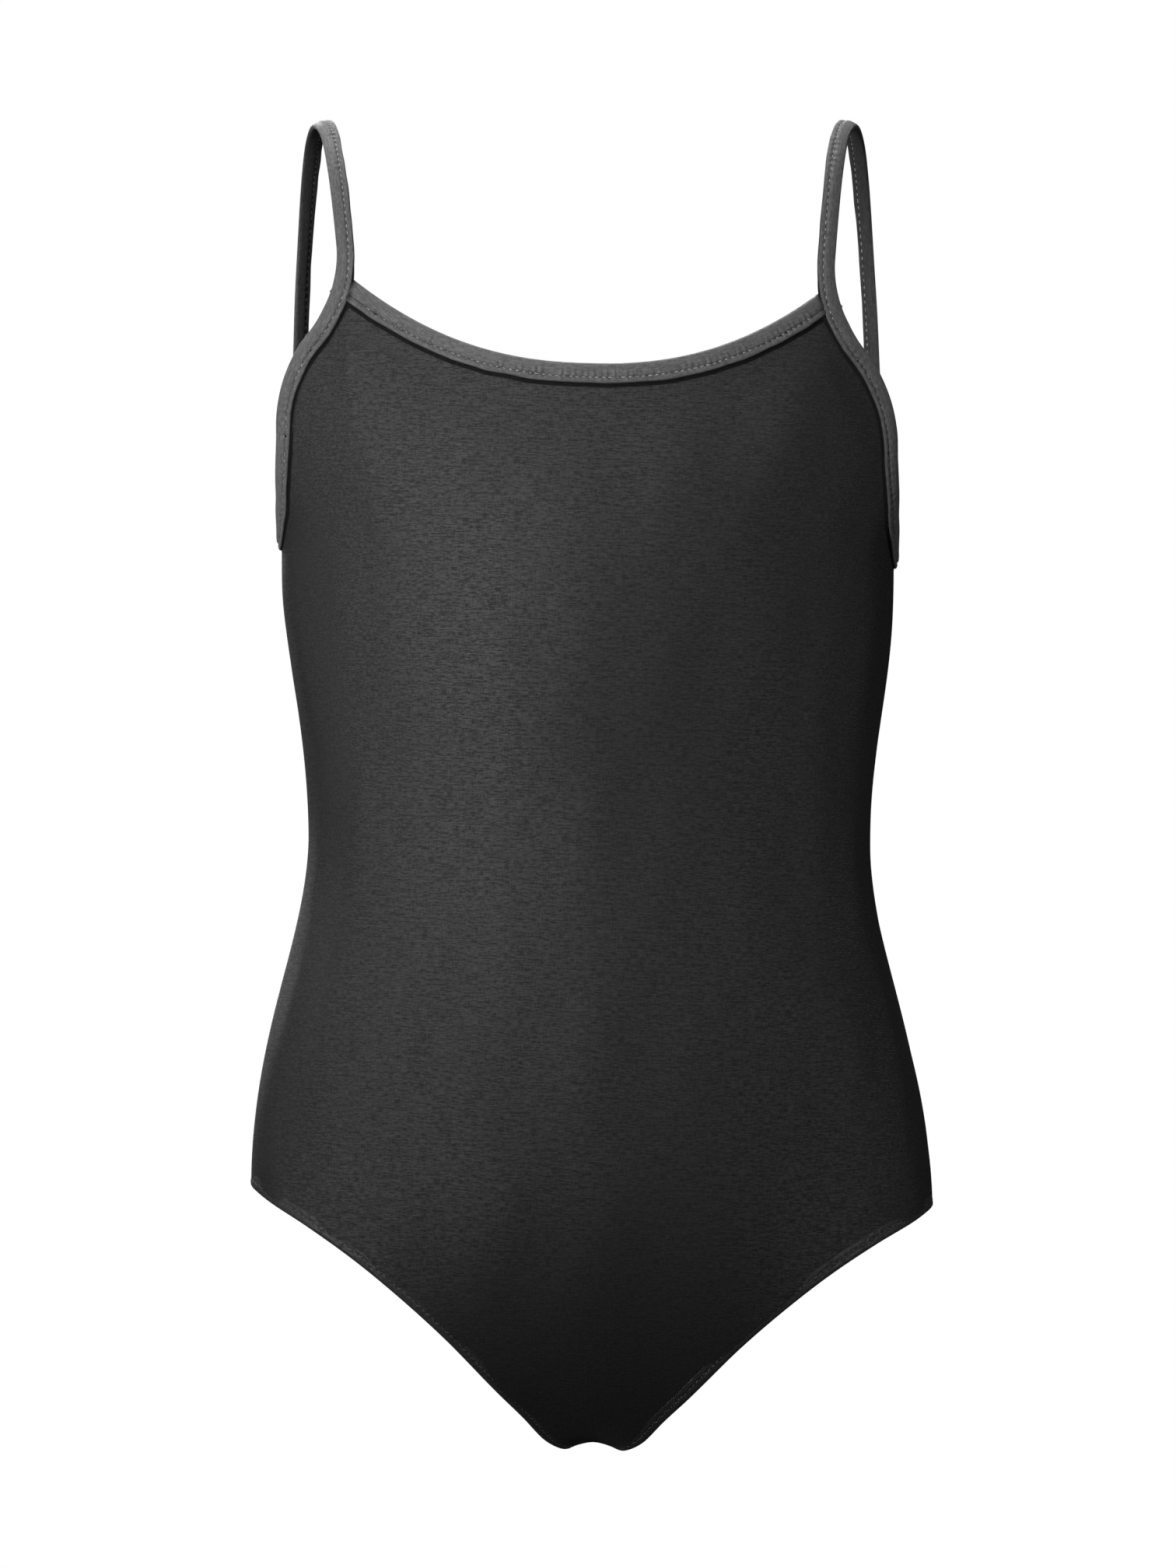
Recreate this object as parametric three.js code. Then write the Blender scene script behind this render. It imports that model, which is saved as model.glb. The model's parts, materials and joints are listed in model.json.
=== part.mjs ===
// A camisole gymnastics leotard in its worn shape, in millimetres, +Z up, front towards -Y.
// The origin is midway between the tops of the two shoulder straps, where the shoulders hold it up.
// Left is -X, as seen from the front.
import * as THREE from 'three';

const { degToRad, lerp, clamp, smoothstep } = THREE.MathUtils;

// ---- Driving dimensions: levels on the body, measured from the strap tops ----
const apexLevel = -70; // the straps meet the front neckline
const backApexLevel = -120; // the straps meet the back neckline
const neckLowLevel = -105.2;
const backNeckLowLevel = -190;
const underarmLevel = -176;
const chestLevel = -186;
const waistLevel = -304;
const seatLevel = -430; // the seat curve starts to turn under
const hipLevel = -452; // widest, and the top of the leg openings
const crotchLevel = -554;

// ---- Half widths and depths of the body inside ----
const chestHalf = 127.8;
const waistHalf = 117;
const hipHalf = 142.2;
const shoulderFlare = 30; // extra half width that the fabric spans in front of the arms
const flareRise = 45;
const hipFullness = 0.86; // under 1, the hips fill out soon below the waist
const frontDepth = { shoulder: 66, chest: 90, waist: 82, seat: 88 };
const backDepth = { shoulder: 80, chest: 92, waist: 80, seat: 110 };
const shoulderSlope = 1.5;

// ---- Neckline, straps and openings ----
const neckHalf = 95.1; // from the centre line to the strap's inner edge, at the front
const neckCurve = 2.3;
const neckTopLevel = -73.6;
const backNeckHalf = 116.5;
const backNeckCurve = 2;
const backNeckTopLevel = -122;
const strapWidth = 7.6;
const strapTop = { x: 110.5, y: -2, z: -2.6 }; // middle of the strap where it crosses the shoulder
const strapLanding = { x: 120, y: 51.5, z: -75 }; // where it comes to lie along the back
const strapLean = 0.43;
const strapTilt = 20; // degrees that the strap slopes with the shoulder, at its top
const gussetHalf = 13; // half width of the fabric at the crotch
const lobeDrop = 4; // how far the leg hems hang below the middle of the crotch
const lobeStart = 0.72; // share of the turn under the seat where they begin to hang
const lobeSpread = 16.9; // from the centre line to where they hang their full drop

// ---- Cloth, bindings, elastics and thread ----
const panelThickness = 0.8;
const bindingWall = 0.5;
const bindingWidth = 8.8;
const foldGap = 0.52; // between the panel and each wall of a binding
const foldEnd = 0.6; // thickness of the folded edge
const layerGap = 0.35; // between two layers that touch in the real garment
const panelTuck = 5.2; // from the folded edge to the panel's raw edge
const hemWidth = 5.5;
const hemGap = 0.35;
const elasticThickness = 0.8;
const elasticStart = 1.1; // from the folded edge to the elastic
const bindingElasticWidth = 2.2;
const hemElasticWidth = 3.4;
const threadSize = 0.5;
const neckStitch = 6.3; // from the folded edge to the row of stitches
const strapStitch = 4.9;
const hemStitch = 4;
const seamWidth = 6;
const seamThickness = 0.6;
const seamStandoff = 1; // from the middle of the panel in to the seam
const liningStandoff = 2.4; // from the middle of the panel in to the middle of the lining
const liningInset = 6.4;
const gussetReach = 64; // from the crotch to each end of the lining
const gussetSeamWidth = 2;
const gussetSeamInset = 2; // from the end of the lining to the middle of its seam
const gussetSeamTrim = degToRad(1);
const labelThickness = 0.4;
const sizeLabelWidth = 24;
const sizeLabelHeight = 14;
const sizeLabelDrop = 3; // from the neck's folded edge
const careLabelWidth = 22;
const careLabelHeight = 38;
const careLabelLevel = -340;
const pivotClearance = 0.75; // between a strap's round end and the bindings round it
const peakClearance = 0.5; // from there down to the top corner of a panel
const neckEndGap = 0.8;
const neckEndSkew = 0.42; // millimetres along the neckline for each one across the binding
const backNeckEndSkew = 0.35;

// ---- How the garment sits: a little higher on its left side, a little over to the right below ----
const sideLift = 0.03;
const sideDrift = -0.0065;
const liftOnset = 70;

// ---- How finely each piece is divided ----
const neckSteps = 20;
const armholeSteps = 26;
const strapSteps = 20;
const legFrontSteps = 24;
const legBackSteps = 25;
const crossSteps = 4;
const liningColumns = 2;
const patchSteps = 2;
const torsoRows = 11;
const rowSpread = 1.5; // over 1, the rows lie closer together near the top
const chestColumns = 6;
const sideColumns = 9;

const quarterTurn = Math.PI / 2;
const seatDrop = seatLevel - crotchLevel;
const seatArc = (quarterTurn * (seatDrop + (frontDepth.seat + backDepth.seat) / 2)) / 2;
const crotchRound = seatLevel - seatArc; // the distance round the body at the crotch
const bindingHalf = panelThickness / 2 + foldGap + bindingWall;

const jersey = { color: 0x3b3c3f, roughness: 0.9, metalness: 0 };
const binding = { color: 0x55565a, roughness: 0.8, metalness: 0 };
const elastic = { color: 0x1d1d1f, roughness: 0.7, metalness: 0 };
const thread = { color: 0x77787c, roughness: 0.6, metalness: 0 };
const lining = { color: 0x333437, roughness: 0.95, metalness: 0 };
const label = { color: 0xe8e6e0, roughness: 0.8, metalness: 0 };

// ---------- The body inside the garment ----------

function ease(part) {
  return (1 - Math.cos(Math.PI * clamp(part, 0, 1))) / 2;
}

function share(value, from, to) {
  return clamp((value - from) / (to - from), 0, 1);
}

function halfWidth(level) {
  if (level > chestLevel) {
    const rise = ((level - chestLevel) / flareRise) ** 2;
    return chestHalf + (shoulderFlare * rise) / (1 + rise);
  }
  if (level > waistLevel) {
    return lerp(chestHalf, waistHalf, ease(share(level, chestLevel, waistLevel)));
  }
  return lerp(waistHalf, hipHalf, ease(share(level, waistLevel, hipLevel) ** hipFullness));
}

function torsoDepth(depth, level) {
  if (level > chestLevel) {
    return lerp(depth.chest, depth.shoulder, share(level, chestLevel, apexLevel) ** shoulderSlope);
  }
  if (level > waistLevel) {
    return lerp(depth.chest, depth.waist, ease(share(level, chestLevel, waistLevel)));
  }
  return lerp(depth.waist, depth.seat, ease(share(level, waistLevel, seatLevel)));
}

// A place on the body is an angle from the centre line and a distance `round`: the level down the
// front, then on under the seat, and up the back, where it goes on falling.
function backRound(round) {
  return 2 * crotchRound - round;
}

function bodyPoint(angle, round) {
  const front = round >= crotchRound;
  const depth = front ? frontDepth : backDepth;
  const climb = front ? round : backRound(round);
  const turn = (Math.max(0, seatLevel - climb) / seatArc) * quarterTurn;
  const level = climb > seatLevel ? climb : seatLevel - seatDrop * Math.sin(turn);
  const reach = climb > seatLevel ? torsoDepth(depth, climb) : depth.seat * Math.cos(turn);
  const x = halfWidth(level) * Math.sin(angle);
  const y = (front ? -reach : reach) * Math.cos(angle);
  const lobe = smoothstep(turn, lobeStart * quarterTurn, quarterTurn);
  const hang = lobeDrop * lobe * smoothstep(Math.abs(x), 0, lobeSpread);
  return new THREE.Vector3(x, y, level - hang);
}

function slopes({ angle, round }) {
  const angleStep = 1e-4; // radians
  const roundStep = 1e-2;
  const across = bodyPoint(angle + angleStep, round)
    .sub(bodyPoint(angle - angleStep, round))
    .divideScalar(2 * angleStep);
  const down = bodyPoint(angle, round + roundStep)
    .sub(bodyPoint(angle, round - roundStep))
    .divideScalar(2 * roundStep);
  return { across, down };
}

function offBody(place, height) {
  const { across, down } = slopes(place);
  const normal = across.cross(down).normalize();
  return bodyPoint(place.angle, place.round).addScaledVector(normal, height);
}

// The place that lies `distance` millimetres from an edge, straight into the fabric
function intoFabric(edge, distance) {
  const { across, down } = slopes(edge);
  const normal = across.clone().cross(down).normalize();
  const inward = edge.along.clone().cross(normal).normalize();
  const aa = across.dot(across);
  const ad = across.dot(down);
  const dd = down.dot(down);
  const determinant = aa * dd - ad * ad;
  const acrossPart = (dd * inward.dot(across) - ad * inward.dot(down)) / determinant;
  const downPart = (aa * inward.dot(down) - ad * inward.dot(across)) / determinant;
  return { angle: edge.angle + distance * acrossPart, round: edge.round + distance * downPart };
}

// ---------- Edges ----------

const fine = 400; // short lengths that an edge is measured in
const nudgeShare = 1e-4; // of an edge, to find its direction
const trimStep = 5e-4; // share of an edge that trimming goes on by

// Places at even distances along an edge, each with the direction of the edge there
function evenly(edgeAt, from, to, steps) {
  const pointAt = (t) => {
    const place = edgeAt(t);
    return bodyPoint(place.angle, place.round);
  };
  const lengths = [0];
  let last = pointAt(from);
  for (let i = 1; i <= fine; i += 1) {
    const next = pointAt(lerp(from, to, i / fine));
    lengths.push(lengths[i - 1] + next.distanceTo(last));
    last = next;
  }
  const places = [];
  let at = 0;
  for (let i = 0; i <= steps; i += 1) {
    const wanted = (lengths[fine] * i) / steps;
    while (at < fine - 1 && lengths[at + 1] < wanted) at += 1;
    const part = (wanted - lengths[at]) / (lengths[at + 1] - lengths[at]);
    const t = lerp(from, to, (at + part) / fine);
    const nudge = (to - from) * nudgeShare;
    const along = pointAt(t + nudge).sub(pointAt(t - nudge)).normalize();
    places.push({ ...edgeAt(t), along });
  }
  return places;
}

// Trims a list of places by a distance at each end
function trimmedEdge(edgeAt, trimStart, trimEnd, steps) {
  const ends = evenly(edgeAt, 0, 1, 1).map((place) => bodyPoint(place.angle, place.round));
  const inside = (from, direction, trim, end) => {
    let t = from;
    while (true) {
      const place = edgeAt(t);
      if (bodyPoint(place.angle, place.round).distanceTo(end) >= trim) return t;
      t += direction * trimStep;
    }
  };
  const from = inside(0, 1, trimStart, ends[0]);
  const to = inside(1, -1, trimEnd, ends[1]);
  return evenly(edgeAt, from, to, steps);
}

function onLevel(x, level, back) {
  const angle = Math.asin(x / halfWidth(level));
  return { angle, round: back ? backRound(level) : level };
}

function frontNeckAt(t) {
  const side = 2 * t - 1;
  const level = lerp(neckLowLevel, neckTopLevel, Math.abs(side) ** neckCurve);
  return onLevel(side * neckHalf, level, false);
}

function backNeckAt(t) {
  const side = 1 - 2 * t;
  const level = lerp(backNeckLowLevel, backNeckTopLevel, Math.abs(side) ** backNeckCurve);
  return onLevel(side * backNeckHalf, level, true);
}

// The armhole edge from the front apex, under the arm and up to the back apex. The angle goes on past
// the side, and each height is a share of the rise from the underarm to its own apex.
const armholeOutline = [
  [41.5, 1],
  [46.8, 0.82],
  [52.6, 0.7],
  [57.6, 0.575],
  [61.4, 0.453],
  [64.6, 0.33],
  [69.8, 0.208],
  [77, 0.095],
  [90, 0],
  [103, 0.165],
  [110, 0.375],
  [115.5, 0.607],
  [119, 0.804],
  [123, 1],
];
const armholeCurve = new THREE.SplineCurve(armholeOutline.map(([a, rise]) => new THREE.Vector2(a, rise)));

function armholeAt(t) {
  const { x: angle, y: rise } = armholeCurve.getPoint(clamp(t, 0, 1));
  if (angle <= 90) {
    return { angle: degToRad(angle), round: lerp(underarmLevel, apexLevel, rise) };
  }
  return { angle: degToRad(180 - angle), round: backRound(lerp(underarmLevel, backApexLevel, rise)) };
}

// The leg edge from the side, down the front, under the crotch and up the back to the side again, as
// the angle from the centre line and the angle turned under the seat. Near the crotch it is as far
// beyond the gusset as `beyondGusset` says, whatever the hips measure.
const nominalHipTurn = 10.2; // the heights near the side seam were drawn for this
const pastSide = 105; // the first and last points lie past the side and only give the curve its direction
const hipTurn = THREE.MathUtils.radToDeg(Math.asin((seatLevel - hipLevel) / seatDrop));
const beyondGusset = { near: 8.9, middle: 22.8, far: 47.8 };
const acrossHip = (distance) => THREE.MathUtils.radToDeg(Math.asin(distance / hipHalf));
const gussetAngle = acrossHip(gussetHalf);
const nearAngle = acrossHip(gussetHalf + beyondGusset.near);
const middleAngle = acrossHip(gussetHalf + beyondGusset.middle);
const farAngle = acrossHip(gussetHalf + beyondGusset.far);
const legOutline = [
  [pastSide, hipTurn + 1.1],
  [90, hipTurn],
  [75, hipTurn + 1.6],
  [56, hipTurn + 7],
  [39.6, 26.6],
  [farAngle, 41],
  [middleAngle, 59.8],
  [nearAngle, 76.4],
  [gussetAngle, 90],
  [nearAngle, 105],
  [middleAngle, 123],
  [farAngle, 141.5],
  [39.6, 155.5],
  [56, 164.5 + nominalHipTurn - hipTurn],
  [75, 168.8 + nominalHipTurn - hipTurn],
  [90, 180 - hipTurn],
  [pastSide, 168.8 + nominalHipTurn - hipTurn],
];
const legCurve = new THREE.SplineCurve(legOutline.map(([a, turn]) => new THREE.Vector2(a, turn)));
const legSpans = legOutline.length - 1;
const legFirst = 1 / legSpans;
const legLast = 1 - legFirst;
const legCrotch = legOutline.findIndex(([, turn]) => turn === 90) / legSpans;

function legAt(t) {
  const { x: angle, y: turn } = legCurve.getPoint(t);
  const climbed = (seatArc * Math.min(turn, 180 - turn)) / 90;
  const climb = seatLevel - climbed;
  return { angle: degToRad(angle), round: turn <= 90 ? climb : backRound(climb) };
}

const armholeStart = strapWidth / 2 + pivotClearance;
const frontNeck = trimmedEdge(frontNeckAt, neckEndGap, neckEndGap, neckSteps);
const backNeck = trimmedEdge(backNeckAt, neckEndGap, neckEndGap, neckSteps);
const armhole = trimmedEdge(armholeAt, armholeStart, armholeStart, armholeSteps);
const legFront = evenly(legAt, legFirst, legCrotch, legFrontSteps);
const legBack = evenly(legAt, legCrotch, legLast, legBackSteps);
const legLoop = [...legFront, ...legBack.slice(1, -1)];

// ---------- Solids ----------

function asWorn(point) {
  const onset = smoothstep(-point.z, 0, liftOnset);
  return new THREE.Vector3(
    point.x + sideDrift * point.z,
    point.y,
    point.z - sideLift * onset * point.x,
  );
}

// A closed solid from points and triangles, turned so that its faces point outwards
function closedSolid(points, triangles) {
  const worn = points.map(asWorn);
  let volume = 0;
  for (const [a, b, c] of triangles) {
    volume += worn[a].dot(worn[b].clone().cross(worn[c]));
  }
  const faces = volume > 0 ? triangles : triangles.map(([a, b, c]) => [a, c, b]);
  const geometry = new THREE.BufferGeometry();
  geometry.setAttribute(
    'position',
    new THREE.Float32BufferAttribute(worn.flatMap((p) => p.toArray()), 3),
  );
  geometry.setIndex(faces.flat());
  geometry.computeVertexNormals();
  return geometry;
}

// Joins rings of points, each the outline of one section, into a closed solid
function loft(rings, section, closed) {
  const size = section.length;
  const triangles = [];
  const last = closed ? rings.length : rings.length - 1;
  for (let r = 0; r < last; r += 1) {
    const here = r * size;
    const next = ((r + 1) % rings.length) * size;
    for (let i = 0; i < size; i += 1) {
      const j = (i + 1) % size;
      triangles.push([here + i, here + j, next + j]);
      triangles.push([here + i, next + j, next + i]);
    }
  }
  if (!closed) {
    const flat = section.map(([b, n]) => new THREE.Vector2(b, n));
    const far = (rings.length - 1) * size;
    const wound = THREE.ShapeUtils.isClockWise(flat);
    for (const [a, b, c] of THREE.ShapeUtils.triangulateShape(flat, [])) {
      triangles.push(wound ? [a, b, c] : [a, c, b]);
      triangles.push(wound ? [far + a, far + c, far + b] : [far + a, far + b, far + c]);
    }
  }
  return closedSolid(rings.flat(), triangles);
}

function mirrored(point, hand) {
  return new THREE.Vector3(hand * point.x, point.y, point.z);
}

// A strip that follows an edge of the body. Its section gives, for each corner, the distance into the
// fabric and the height off it.
function edgeStrip(edge, section, { hand = 1, closed = false, skew = 0 } = {}) {
  const rings = edge.map((place, index) =>
    section.map(([inset, height]) => {
      const point = offBody(intoFabric(place, inset), height);
      if (index === 0) point.addScaledVector(place.along, skew * inset);
      if (index === edge.length - 1) point.addScaledVector(place.along, -skew * inset);
      return mirrored(point, hand);
    }),
  );
  return loft(rings, section, closed);
}

// A piece of cloth over a grid of places on the body
function cloth(rows, standoff, thickness, hand = 1) {
  const count = rows[0].length;
  const total = rows.length * count;
  const layer = (height) =>
    rows.flatMap((row) => row.map((place) => mirrored(offBody(place, height), hand)));
  const points = [...layer(standoff + thickness / 2), ...layer(standoff - thickness / 2)];
  const triangles = [];
  const quad = (a, b, c, d) => {
    triangles.push([a, b, c]);
    triangles.push([a, c, d]);
  };
  for (let r = 0; r < rows.length - 1; r += 1) {
    for (let c = 0; c < count - 1; c += 1) {
      const a = r * count + c;
      const b = a + 1;
      const [d, e] = [a + count, b + count];
      if (rows[r][c].angle < 0) {
        quad(a, b, e, d);
        quad(total + a, total + d, total + e, total + b);
      } else {
        quad(b, e, d, a);
        quad(total + b, total + a, total + d, total + e);
      }
    }
  }
  for (let c = 0; c < count - 1; c += 1) {
    const bottom = (rows.length - 1) * count + c;
    quad(c + 1, c, total + c, total + c + 1);
    quad(bottom, bottom + 1, total + bottom + 1, total + bottom);
  }
  for (let r = 0; r < rows.length - 1; r += 1) {
    const left = r * count;
    const right = left + count - 1;
    quad(left, left + count, total + left + count, total + left);
    quad(right + count, right, total + right, total + right + count);
  }
  return closedSolid(points, triangles);
}

// ---------- Sections ----------

function rectangle(fromInset, toInset, fromHeight, toHeight) {
  return [
    [fromInset, toHeight],
    [toInset, toHeight],
    [toInset, fromHeight],
    [fromInset, fromHeight],
  ];
}

// A strip folded in half over an edge: two walls joined at the fold. `stops` are distances from the
// fold where the walls have corners.
function foldedSection(stops, outer, inner) {
  const [, ...beyond] = stops;
  const walls = (height) => beyond.map((inset) => [inset, height]);
  return [
    [0, outer - bindingWall],
    [foldEnd / 2, outer],
    ...walls(outer),
    ...walls(outer - bindingWall).reverse(),
    [foldEnd, outer - bindingWall],
    [foldEnd, inner + bindingWall],
    ...walls(inner + bindingWall),
    ...walls(inner).reverse(),
    [foldEnd / 2, inner],
    [0, inner + bindingWall],
  ];
}

const bindingSection = foldedSection([0, bindingWidth], bindingHalf, -bindingHalf);
const bindingElasticSection = rectangle(
  elasticStart,
  elasticStart + bindingElasticWidth,
  -elasticThickness / 2,
  elasticThickness / 2,
);

// The turned hem: its outer layer runs on from the panel, its inner layer is folded inside
const hemElasticTop = -(panelThickness / 2 + layerGap);
const hemInnerTop = hemElasticTop - elasticThickness - layerGap;
const hemSection = [
  [0, 0],
  [foldEnd / 2, panelThickness / 2],
  [hemWidth, panelThickness / 2],
  [hemWidth, -panelThickness / 2],
  [foldEnd, -panelThickness / 2],
  [foldEnd, hemInnerTop],
  [hemWidth, hemInnerTop],
  [hemWidth, hemInnerTop - panelThickness],
  [foldEnd / 2, hemInnerTop - panelThickness],
  [0, hemInnerTop - panelThickness / 2],
];
const hemElasticSection = rectangle(
  elasticStart,
  elasticStart + hemElasticWidth,
  hemElasticTop - elasticThickness,
  hemElasticTop,
);

function threadSection(inset, surface) {
  const half = threadSize / 2;
  return rectangle(inset - half, inset + half, surface + layerGap, surface + layerGap + threadSize);
}

// ---------- Panels ----------

// How far round the body the panel's raw edge lies, at an angle from the centre line. Past its ends
// the edge runs straight on.
function levelUnderEdge(places) {
  const inner = places.map((place) => intoFabric(place, panelTuck)).sort((p, q) => p.angle - q.angle);
  return (angle) => {
    const after = inner.findIndex((place) => place.angle > angle);
    const high = after < 0 ? inner.length - 1 : Math.max(after, 1);
    const [low, top] = [inner[high - 1], inner[high]];
    return lerp(low.round, top.round, (angle - low.angle) / (top.angle - low.angle));
  };
}

// The top of a panel at an angle from the centre line: under the neckline or under the armhole,
// whichever lies lower there, and always clear of the strap's end
function panelTop(neckPlaces, armholePlaces, highest, towardsTop) {
  const underNeck = levelUnderEdge(neckPlaces);
  const underArm = levelUnderEdge(armholePlaces);
  const lower = towardsTop > 0 ? Math.min : Math.max;
  return (angle) => lower(underNeck(angle), underArm(angle), highest);
}

const peakSearch = { from: degToRad(30), to: degToRad(75), step: degToRad(0.05) };

// The angle where the panel's top is highest, between the neckline and the armhole
function peakAngle(top, towardsTop) {
  let best = 0;
  for (let angle = peakSearch.from; angle < peakSearch.to; angle += peakSearch.step) {
    if (towardsTop * top(angle) > towardsTop * top(best)) best = angle;
  }
  return best;
}

function panelColumns(peak, seamAngle) {
  const half = [];
  for (let i = 0; i <= chestColumns; i += 1) half.push((peak * i) / chestColumns);
  for (let i = 1; i <= sideColumns; i += 1) half.push(lerp(peak, seamAngle, i / sideColumns));
  const left = half.slice(1).reverse().map((angle) => -angle);
  return [...left, ...half];
}

// Rows from the neckline and armholes down to the hip, then on between the leg hems to the crotch
function panelRows(neckPlaces, armholePlaces, legPlaces, highest, towardsTop) {
  const seamAngle = quarterTurn - hemGap / 2 / frontDepth.seat;
  const top = panelTop(neckPlaces, armholePlaces, highest, towardsTop);
  const peak = peakAngle(top, towardsTop);
  const columns = panelColumns(peak, seamAngle);
  const lowerEdge = legPlaces.map((place) => intoFabric(place, hemWidth + hemGap));
  const hipRound = lowerEdge[0].round;
  const rows = [];
  for (let r = 0; r < torsoRows; r += 1) {
    rows.push(
      columns.map((angle) => {
        const startsAt = top(Math.min(Math.abs(angle), seamAngle));
        return { angle, round: lerp(startsAt, hipRound, (r / torsoRows) ** rowSpread) };
      }),
    );
  }
  for (const [index, place] of lowerEdge.entries()) {
    const widest = Math.min(place.angle, seamAngle);
    const atCrotch = index === lowerEdge.length - 1;
    const round = atCrotch ? crotchRound + (towardsTop * hemGap) / 2 : place.round;
    rows.push(columns.map((angle) => ({ angle: (widest * angle) / seamAngle, round })));
  }
  return rows;
}

const edgeSamples = 100;
const wholeArmhole = evenly(armholeAt, 0, 1, edgeSamples);
const rightHalf = (places) => places.filter((place) => place.angle >= 0);
const frontPanelRows = panelRows(
  rightHalf(evenly(frontNeckAt, 0, 1, edgeSamples)),
  wholeArmhole.filter((place) => place.round > crotchRound),
  legFront,
  apexLevel - armholeStart - peakClearance,
  1,
);
const backPanelRows = panelRows(
  rightHalf(evenly(backNeckAt, 0, 1, edgeSamples)),
  wholeArmhole.filter((place) => place.round < crotchRound),
  [...legBack].reverse(),
  backRound(backApexLevel - armholeStart - peakClearance),
  -1,
);

// The lining lies inside the crotch, between the inner layers of the two hems. It has a row of
// corners at the inner edge of each end seam, so that the seam lies flat on it.
function liningRows() {
  const near = (place) => Math.abs(place.round - crotchRound) < gussetReach;
  const edge = [...legFront, ...legBack.slice(1)].filter(near).map((place) => intoFabric(place, liningInset));
  const rows = edge.map(({ angle, round }) => {
    const row = [];
    for (let i = -liningColumns; i <= liningColumns; i += 1) {
      row.push({ angle: (angle * i) / liningColumns, round });
    }
    return row;
  });
  const seamEdge = gussetSeamInset + gussetSeamWidth / 2 + layerGap;
  const besideSeam = (end, next) => {
    const part = seamEdge / Math.abs(end[0].round - next[0].round);
    return end.map((place, i) => ({
      angle: lerp(place.angle, next[i].angle, part),
      round: lerp(place.round, next[i].round, part),
    }));
  };
  return [
    rows[0],
    besideSeam(rows[0], rows[1]),
    ...rows.slice(1, -1),
    besideSeam(rows.at(-1), rows.at(-2)),
    rows.at(-1),
  ];
}

// A flat piece between two angles and two distances round the body
function patch(fromAngle, toAngle, fromRound, toRound, standoff, thickness, hand = 1) {
  const rows = [];
  for (let r = 0; r <= patchSteps; r += 1) {
    const round = lerp(fromRound, toRound, r / patchSteps);
    const row = [];
    for (let c = 0; c <= patchSteps; c += 1) {
      row.push({ angle: lerp(fromAngle, toAngle, c / patchSteps), round });
    }
    rows.push(row);
  }
  return cloth(rows, standoff, thickness, hand);
}

// A strip across the body from one angle to its opposite
function crossStrip(round, halfAngle, fromInset, toInset, fromHeight, toHeight) {
  const across = (t) => ({ angle: lerp(-halfAngle, halfAngle, t), round });
  return edgeStrip(evenly(across, 0, 1, crossSteps), rectangle(fromInset, toInset, fromHeight, toHeight));
}

// ---------- Straps ----------

function asVector({ x, y, z }) {
  return new THREE.Vector3(x, y, z);
}

// Where a strap is sewn down: the middle of the strip at an end of the armhole edge
function strapPivot(edge) {
  return offBody(intoFabric(edge, strapWidth / 2), 0);
}

// The strap climbs from a landing on the body and turns over the shoulder
function archPoint(landing, progress) {
  const climb = Math.sin(progress * quarterTurn);
  const over = 1 - Math.cos(progress * quarterTurn);
  return new THREE.Vector3(
    lerp(strapTop.x, landing.x, (1 - climb) ** strapLean),
    lerp(landing.y, strapTop.y, over),
    lerp(landing.z, strapTop.z, climb),
  );
}

const frontPivot = strapPivot(wholeArmhole[0]);
const backPivot = strapPivot(wholeArmhole.at(-1));
const archShares = [0.25, 0.5, 0.75];
const strapRoute = new THREE.CatmullRomCurve3([
  frontPivot,
  ...archShares.map((progress) => archPoint(frontPivot, progress)),
  asVector(strapTop),
  ...archShares.map((progress) => archPoint(strapLanding, progress)).reverse(),
  asVector(strapLanding),
  asVector(strapLanding).lerp(backPivot, 0.5),
  backPivot,
]);
const strapLength = strapRoute.getLength();

function outwardAlongBody(edge) {
  return slopes(edge).across.normalize();
}

const tilt = degToRad(strapTilt);
const widthAtFront = outwardAlongBody(wholeArmhole[0]);
const widthAtTop = new THREE.Vector3(Math.cos(tilt), 0, -Math.sin(tilt));
const widthAtBack = outwardAlongBody(wholeArmhole.at(-1));
const topShare = 0.4; // of the way along the strap
const backShare = 0.75;

// A point of the strap: `along` from the front pivot, `inset` from the folded edge, `height` off it
function strapPoint(along, inset, height) {
  const onRoute = clamp(along, 0, strapLength);
  const part = onRoute / strapLength;
  const tangent = strapRoute.getTangentAt(part);
  const width = widthAtFront.clone().lerp(widthAtTop, smoothstep(part, 0, topShare));
  width.lerp(widthAtBack, smoothstep(part, topShare, backShare));
  width.addScaledVector(tangent, -width.dot(tangent)).normalize();
  const outward = width.clone().cross(tangent);
  return strapRoute
    .getPointAt(part)
    .addScaledVector(tangent, along - onRoute)
    .addScaledVector(width, strapWidth / 2 - inset)
    .addScaledVector(outward, height);
}

// A strip along the strap. Its ends are round about the pivots, or `trim` short of them.
function strapStrip(section, hand, trim) {
  const radius = strapWidth / 2;
  const nose = (inset) => Math.sqrt(Math.max(0, radius ** 2 - (inset - radius) ** 2));
  const overrun = (inset) => (trim === undefined ? nose(inset) : -trim);
  const rings = [];
  for (let i = 0; i <= strapSteps; i += 1) {
    const middle = (strapLength * i) / strapSteps;
    const ring = section.map(([inset, height]) => {
      let along = middle;
      if (i === 0) along -= overrun(inset);
      if (i === strapSteps) along += overrun(inset);
      return mirrored(strapPoint(along, inset, height), hand);
    });
    rings.push(ring);
  }
  return loft(rings, section, false);
}

const noseStop = 0.15 * strapWidth;
const strapStops = [0, noseStop, strapWidth / 2, strapWidth - noseStop, strapWidth];
const strapSection = foldedSection(strapStops, bindingHalf, -bindingHalf);
const strapElasticSection = rectangle(
  (strapWidth - bindingElasticWidth) / 2,
  (strapWidth + bindingElasticWidth) / 2,
  -elasticThickness / 2,
  elasticThickness / 2,
);

// ---------- The leotard ----------

const leotard = new THREE.Group();

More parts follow.
